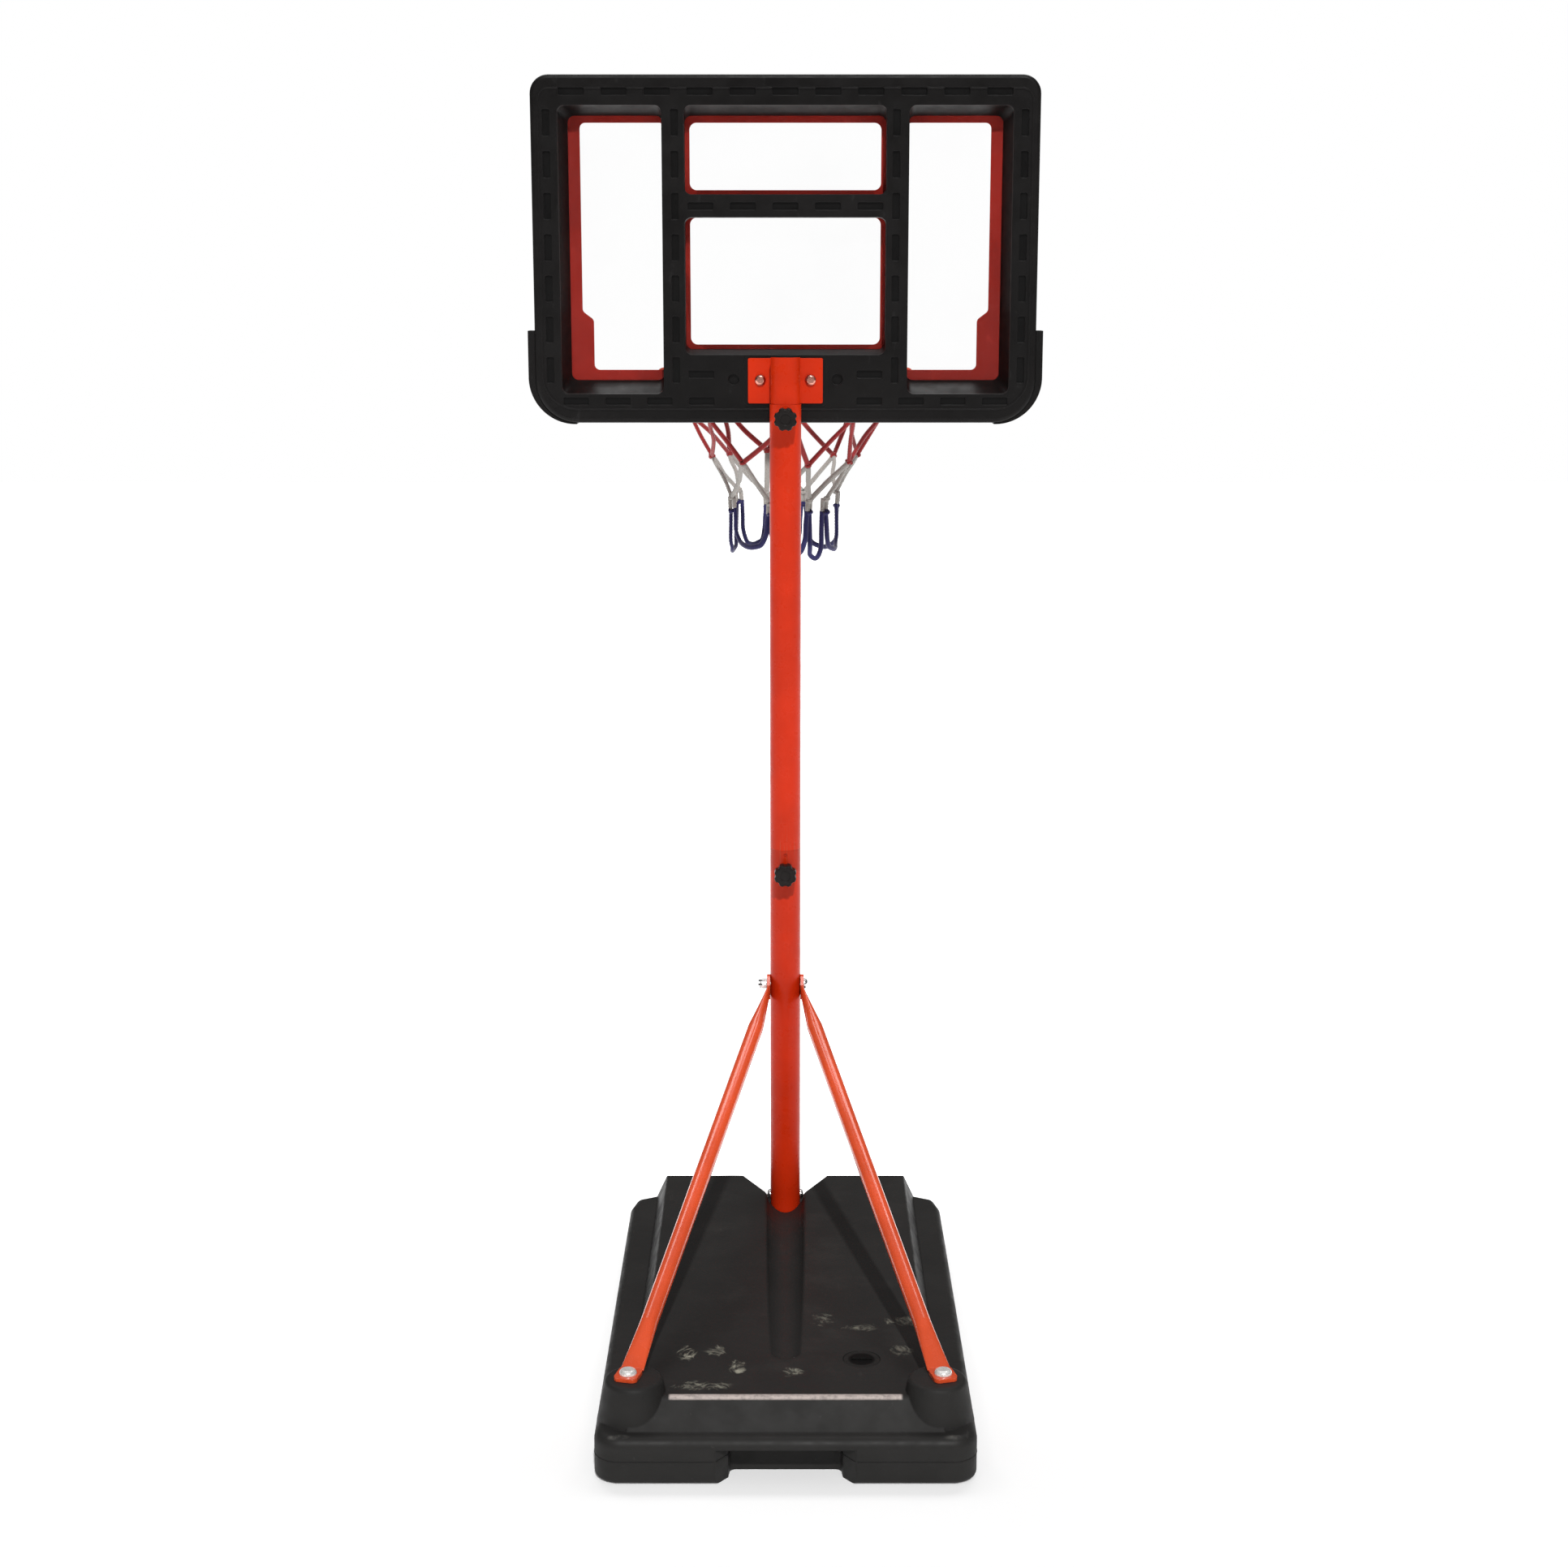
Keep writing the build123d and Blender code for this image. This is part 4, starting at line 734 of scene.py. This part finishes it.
def build_net():
    """Three bands of cord: red to the second row of knots, white below it, navy loops."""
    rows = net_rows()
    bands = {name: bmesh.new() for name in CORD_COLOURS}
    red, white, navy = bands["red"], bands["white"], bands["navy"]
    for row in range(3):
        bm = white if row == 2 else red
        for k in range(HOOK_COUNT):
            start = rows[row][k]
            neighbours = (k, k + 1) if row % 2 == 0 else (k - 1, k)
            for n in neighbours:
                end = rows[row + 1][n % HOOK_COUNT]
                aside = (end - start).normalized() * 0.003
                bend = slack(start, end, rng.uniform(0.000, 0.004), rng.uniform(-0.005, 0.001))
                add_cord(bm, [start + aside, start.lerp(end, 0.2), bend, end - aside])
            if row:
                add_knot(red, start)
    # each hook carries one bight of cord over its lower wire
    for k in range(HOOK_COUNT):
        seat = rows[0][k]
        out = from_net_axis(seat)
        toward_left = (rows[1][k] - seat).normalized()
        toward_right = (rows[1][(k + 1) % HOOK_COUNT] - seat).normalized()
        points = [
            seat + toward_left * 0.012,
            seat + toward_left * 0.004 - out * 0.0015,
            seat + Vector((0, 0, 0.0022)),
            seat + toward_right * 0.004 - out * 0.0015,
            seat + toward_right * 0.012,
        ]
        add_cord(red, points, twist=0.05)
    # below the last knots two cords run side by side, then part into hanging loops
    for k in range(HOOK_COUNT):
        left, right = rows[3][k], rows[3][(k + 1) % HOOK_COUNT]
        left_turn = turn_of(left)
        span = (turn_of(right) - left_turn) % 360
        low = LOOP_LOW_Z + LOOP_LIFTS[k]
        radius = LOOP_RADIUS + rng.uniform(-0.004, 0.003)
        tip = 0.018 + rng.uniform(-0.003, 0.004)
        gap = 2.2  # degrees that the two cords lie apart
        for end, turn in ((left, left_turn + gap), (right, left_turn + span - gap)):
            start = net_point(turn - 0.3, radius + 0.002, end.z)
            add_cord(white, [start, net_point(turn, radius + 0.001, end.z - tip)], twist=0.1)
        add_knot(white, left)
        add_knot(navy, left - Vector((0, 0, tip + 0.002)), height=0.005, turns=1.25)
        shoulder = low + rng.uniform(0.018, 0.026)
        shape = [
            (gap / span, 1.0),
            (0.03 + gap / span, 0.5),
            (0.05 + gap / span, 0.0),
        ]
        loop = [
            net_point(left_turn + share * span, radius, shoulder + rise * (left.z - tip - shoulder))
            for share, rise in shape
        ]
        for share, lift in ((0.2, 0.006), (0.36, 0.001), (0.5, 0), (0.64, 0.002), (0.8, 0.007)):
            loop.append(net_point(left_turn + share * span, radius - 0.003, low + lift))
        for share, rise in reversed(shape):
            height = shoulder + rise * (right.z - tip - shoulder)
            loop.append(net_point(left_turn + (1 - share) * span, radius, height))
        add_cord(navy, loop, twist=0.4)
    for name, bm in bands.items():
        mesh = finish_mesh(bm, f"net_{name}")
        piece = new_piece(f"net_{name}", mesh, "board", cord_materials[name])
        if name == "red":
            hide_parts("net")


# ---- Weld beads ----------------------------------------------------------------------


def bead_section(radius, phase):
    """A round bead with the ripples that a weld pool leaves."""

    def section(distance):
        r = radius * (1 + 0.16 * math.cos(2 * math.pi * distance / 0.0022 + phase))
        turns = [2 * math.pi * k / 10 for k in range(10)]
        return [(r * math.cos(a), r * math.sin(a)) for a in turns]

    return section


def add_bead(bm, points, radius, closed=False):
    """A weld bead along the points."""
    path = smooth_path([Vector(p) for p in points], 0.0008, closed)
    centre = sum(path, Vector()) / len(path) + Vector((0.0003, 0.0002, 0.0001))
    sweep(bm, path, lambda p: p - centre, bead_section(radius, rng.uniform(0, 6)), closed)


def finish_weld(bm, name, body, slot):
    mesh = finish_mesh(bm, name)
    new_piece(name, mesh, body, materials[slot])


def boss_weld(name, body):
    """The bead round a clamp boss, lying on the pole's curve."""
    low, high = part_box(f"clamp_boss_{name}")
    z = (low.z + high.z) / 2
    radius = (high.z - low.z) / 2 + 0.0006
    points = []
    for k in range(20):
        a = 2 * math.pi * k / 20
        x = radius * math.cos(a)
        points.append((x, -math.sqrt(POLE_RADIUS**2 - x**2) - 0.0004, z + radius * math.sin(a)))
    bm = bmesh.new()
    add_bead(bm, points, 0.0016, closed=True)
    finish_weld(bm, f"boss_weld_{name}", body, "red_paint")


def bracket_weld():
    """Short runs of weld down both sides of the post, where the bracket meets it."""
    bm = bmesh.new()
    radius = (post_high.x - post_low.x) / 2
    face_y = bracket_low.y
    reach = math.sqrt(max(radius**2 - face_y**2, 0.0))
    span = bracket_high.z - bracket_low.z
    for side in (-1, 1):
        for start, end in ((0.05, 0.36), (0.62, 0.95)):
            heights = [bracket_low.z + span * (start + (end - start) * k / 4) for k in range(5)]
            run = [
                (side * (reach + 0.0008), face_y - 0.0006 + rng.uniform(-0.0003, 0.0002), z)
                for z in heights
            ]
            add_bead(bm, run, 0.0017)
    finish_weld(bm, "bracket_weld", "board", "red_paint")


STRUT_RADIUS = 0.0050


def rim_weld():
    """Beads round both ends of the rim's struts, and where its web meets the ring."""
    bm = bmesh.new()
    plate_y = plate_low.y + 0.003
    for side in (-1, 1):
        foot = Vector(
            (side * (strut_low.x + STRUT_RADIUS), plate_y, strut_low.z + STRUT_RADIUS)
        )
        tip_x = side * (strut_high.x - STRUT_RADIUS)
        tip_y = RIM_CENTRE.y - math.sqrt(RIM_RADIUS**2 - tip_x**2)
        tip = Vector((tip_x, tip_y, RIM_CENTRE.z))
        along = (tip - foot).normalized()
        across = along.cross(Vector((0, 0, 1))).normalized()
        above = across.cross(along)
        tip_end = tip - along * (RIM_WIRE + 0.001)
        for centre, grow in ((foot + along * 0.002, 1.12), (tip_end, 1.08)):
            loop = []
            for k in range(14):
                a = 2 * math.pi * k / 14
                reach = STRUT_RADIUS * grow
                loop.append(centre + across * reach * math.cos(a) + above * reach * math.sin(a))
            add_bead(bm, loop, 0.0014, closed=True)
        wire_y = RIM_CENTRE.y - RIM_RADIUS
        arc = []
        for k in range(9):
            a = math.radians(-175 + 95 * k / 8)
            reach = RIM_WIRE + 0.0003
            arc.append(
                (side * 0.0028, wire_y + reach * math.cos(a), RIM_CENTRE.z + reach * math.sin(a))
            )
        add_bead(bm, arc, 0.0013)
    finish_weld(bm, "rim_weld", "board", "rim_paint")


# ---- Parting line round the base --------------------------------------------------------


def outline_at(node, z):
    """The longest closed outline where a level plane cuts a node."""
    bm = bmesh.new()
    bm.from_mesh(nodes[node].data)
    bmesh.ops.remove_doubles(bm, verts=bm.verts, dist=1e-6)
    geometry = bm.verts[:] + bm.edges[:] + bm.faces[:]
    cut = bmesh.ops.bisect_plane(bm, geom=geometry, plane_co=(0, 0, z), plane_no=(0, 0, 1))
    edges = [item for item in cut["geom_cut"] if isinstance(item, bmesh.types.BMEdge)]
    beside = {}
    for edge in edges:
        for a, b in (edge.verts, reversed(edge.verts)):
            beside.setdefault(a, []).append(b)
    loops = []
    seen = set()
    for start in beside:
        if start in seen:
            continue
        loop = [start]
        seen.add(start)
        while True:
            onward = [v for v in beside[loop[-1]] if v not in seen]
            if not onward:
                break
            seen.add(onward[0])
            loop.append(onward[0])
        loops.append([v.co.copy() for v in loop])
    bm.free()
    return max(loops, key=lambda loop: sum((b - a).length for a, b in zip(loop, loop[1:])))


def spaced(points, step):
    """Even samples along straight runs between the points of a closed outline."""
    result = []
    carried = 0.0
    for a, b in zip(points, points[1:] + points[:1]):
        length = (b - a).length
        at = carried
        while at < length:
            result.append(a.lerp(b, at / length))
            at += step
        carried = at - length
    return result


PARTING_HEIGHT = 0.0305  # above the floor


def parting_line():
    """The thin raised line that the two halves of the mould leave round the base."""
    path = spaced(outline_at("base_tank", tank_low.z + PARTING_HEIGHT), 0.004)
    bm = bmesh.new()
    turns = [2 * math.pi * k / 8 for k in range(8)]
    section = [(0.0005 * math.cos(a), 0.0008 * math.sin(a)) for a in turns]
    sweep(bm, path, lambda p: Vector((0, 0, 1)), lambda distance: section, closed=True)
    mesh = finish_mesh(bm, "parting_line")
    new_piece("parting_line", mesh, "stand", materials["base_plastic"])


# ---- Floor ---------------------------------------------------------------------------

FLOOR_HALF = 14.0
FLOOR_GAP = 0.0003  # the floor lies this far under the base, so that no faces coincide


def add_floor():
    z = cad_low.z - FLOOR_GAP
    corners = [
        (FLOOR_HALF * x, FLOOR_HALF * y, z) for x, y in ((-1, -1), (1, -1), (1, 1), (-1, 1))
    ]
    mesh = bpy.data.meshes.new("floor")
    mesh.from_pydata(corners, [], [(0, 1, 2, 3)])
    mesh.materials.append(studio_floor("studio_floor"))
    floor = bpy.data.objects.new("floor", mesh)
    bpy.context.scene.collection.objects.link(floor)


# ---- Everything together ---------------------------------------------------------------

add_camera()
add_world(horizon=0.09, zenith=0.30, backdrop=1.0)
add_sun("key", (0.12, -1.06, 1.04), spread=1.8, strength=2.6)
add_softbox("overhead", (0, 1.4, 3.8), (0, 0, 0.4), 3.6, 1.0, 60, diffuse=0.35, gloss=2.6)
bpy.context.scene.view_settings.view_transform = "Standard"

finish_frame()
build_net()
boss_weld("lower", "stand")
boss_weld("upper", "upper_pole")
bracket_weld()
rim_weld()
parting_line()

add_floor()
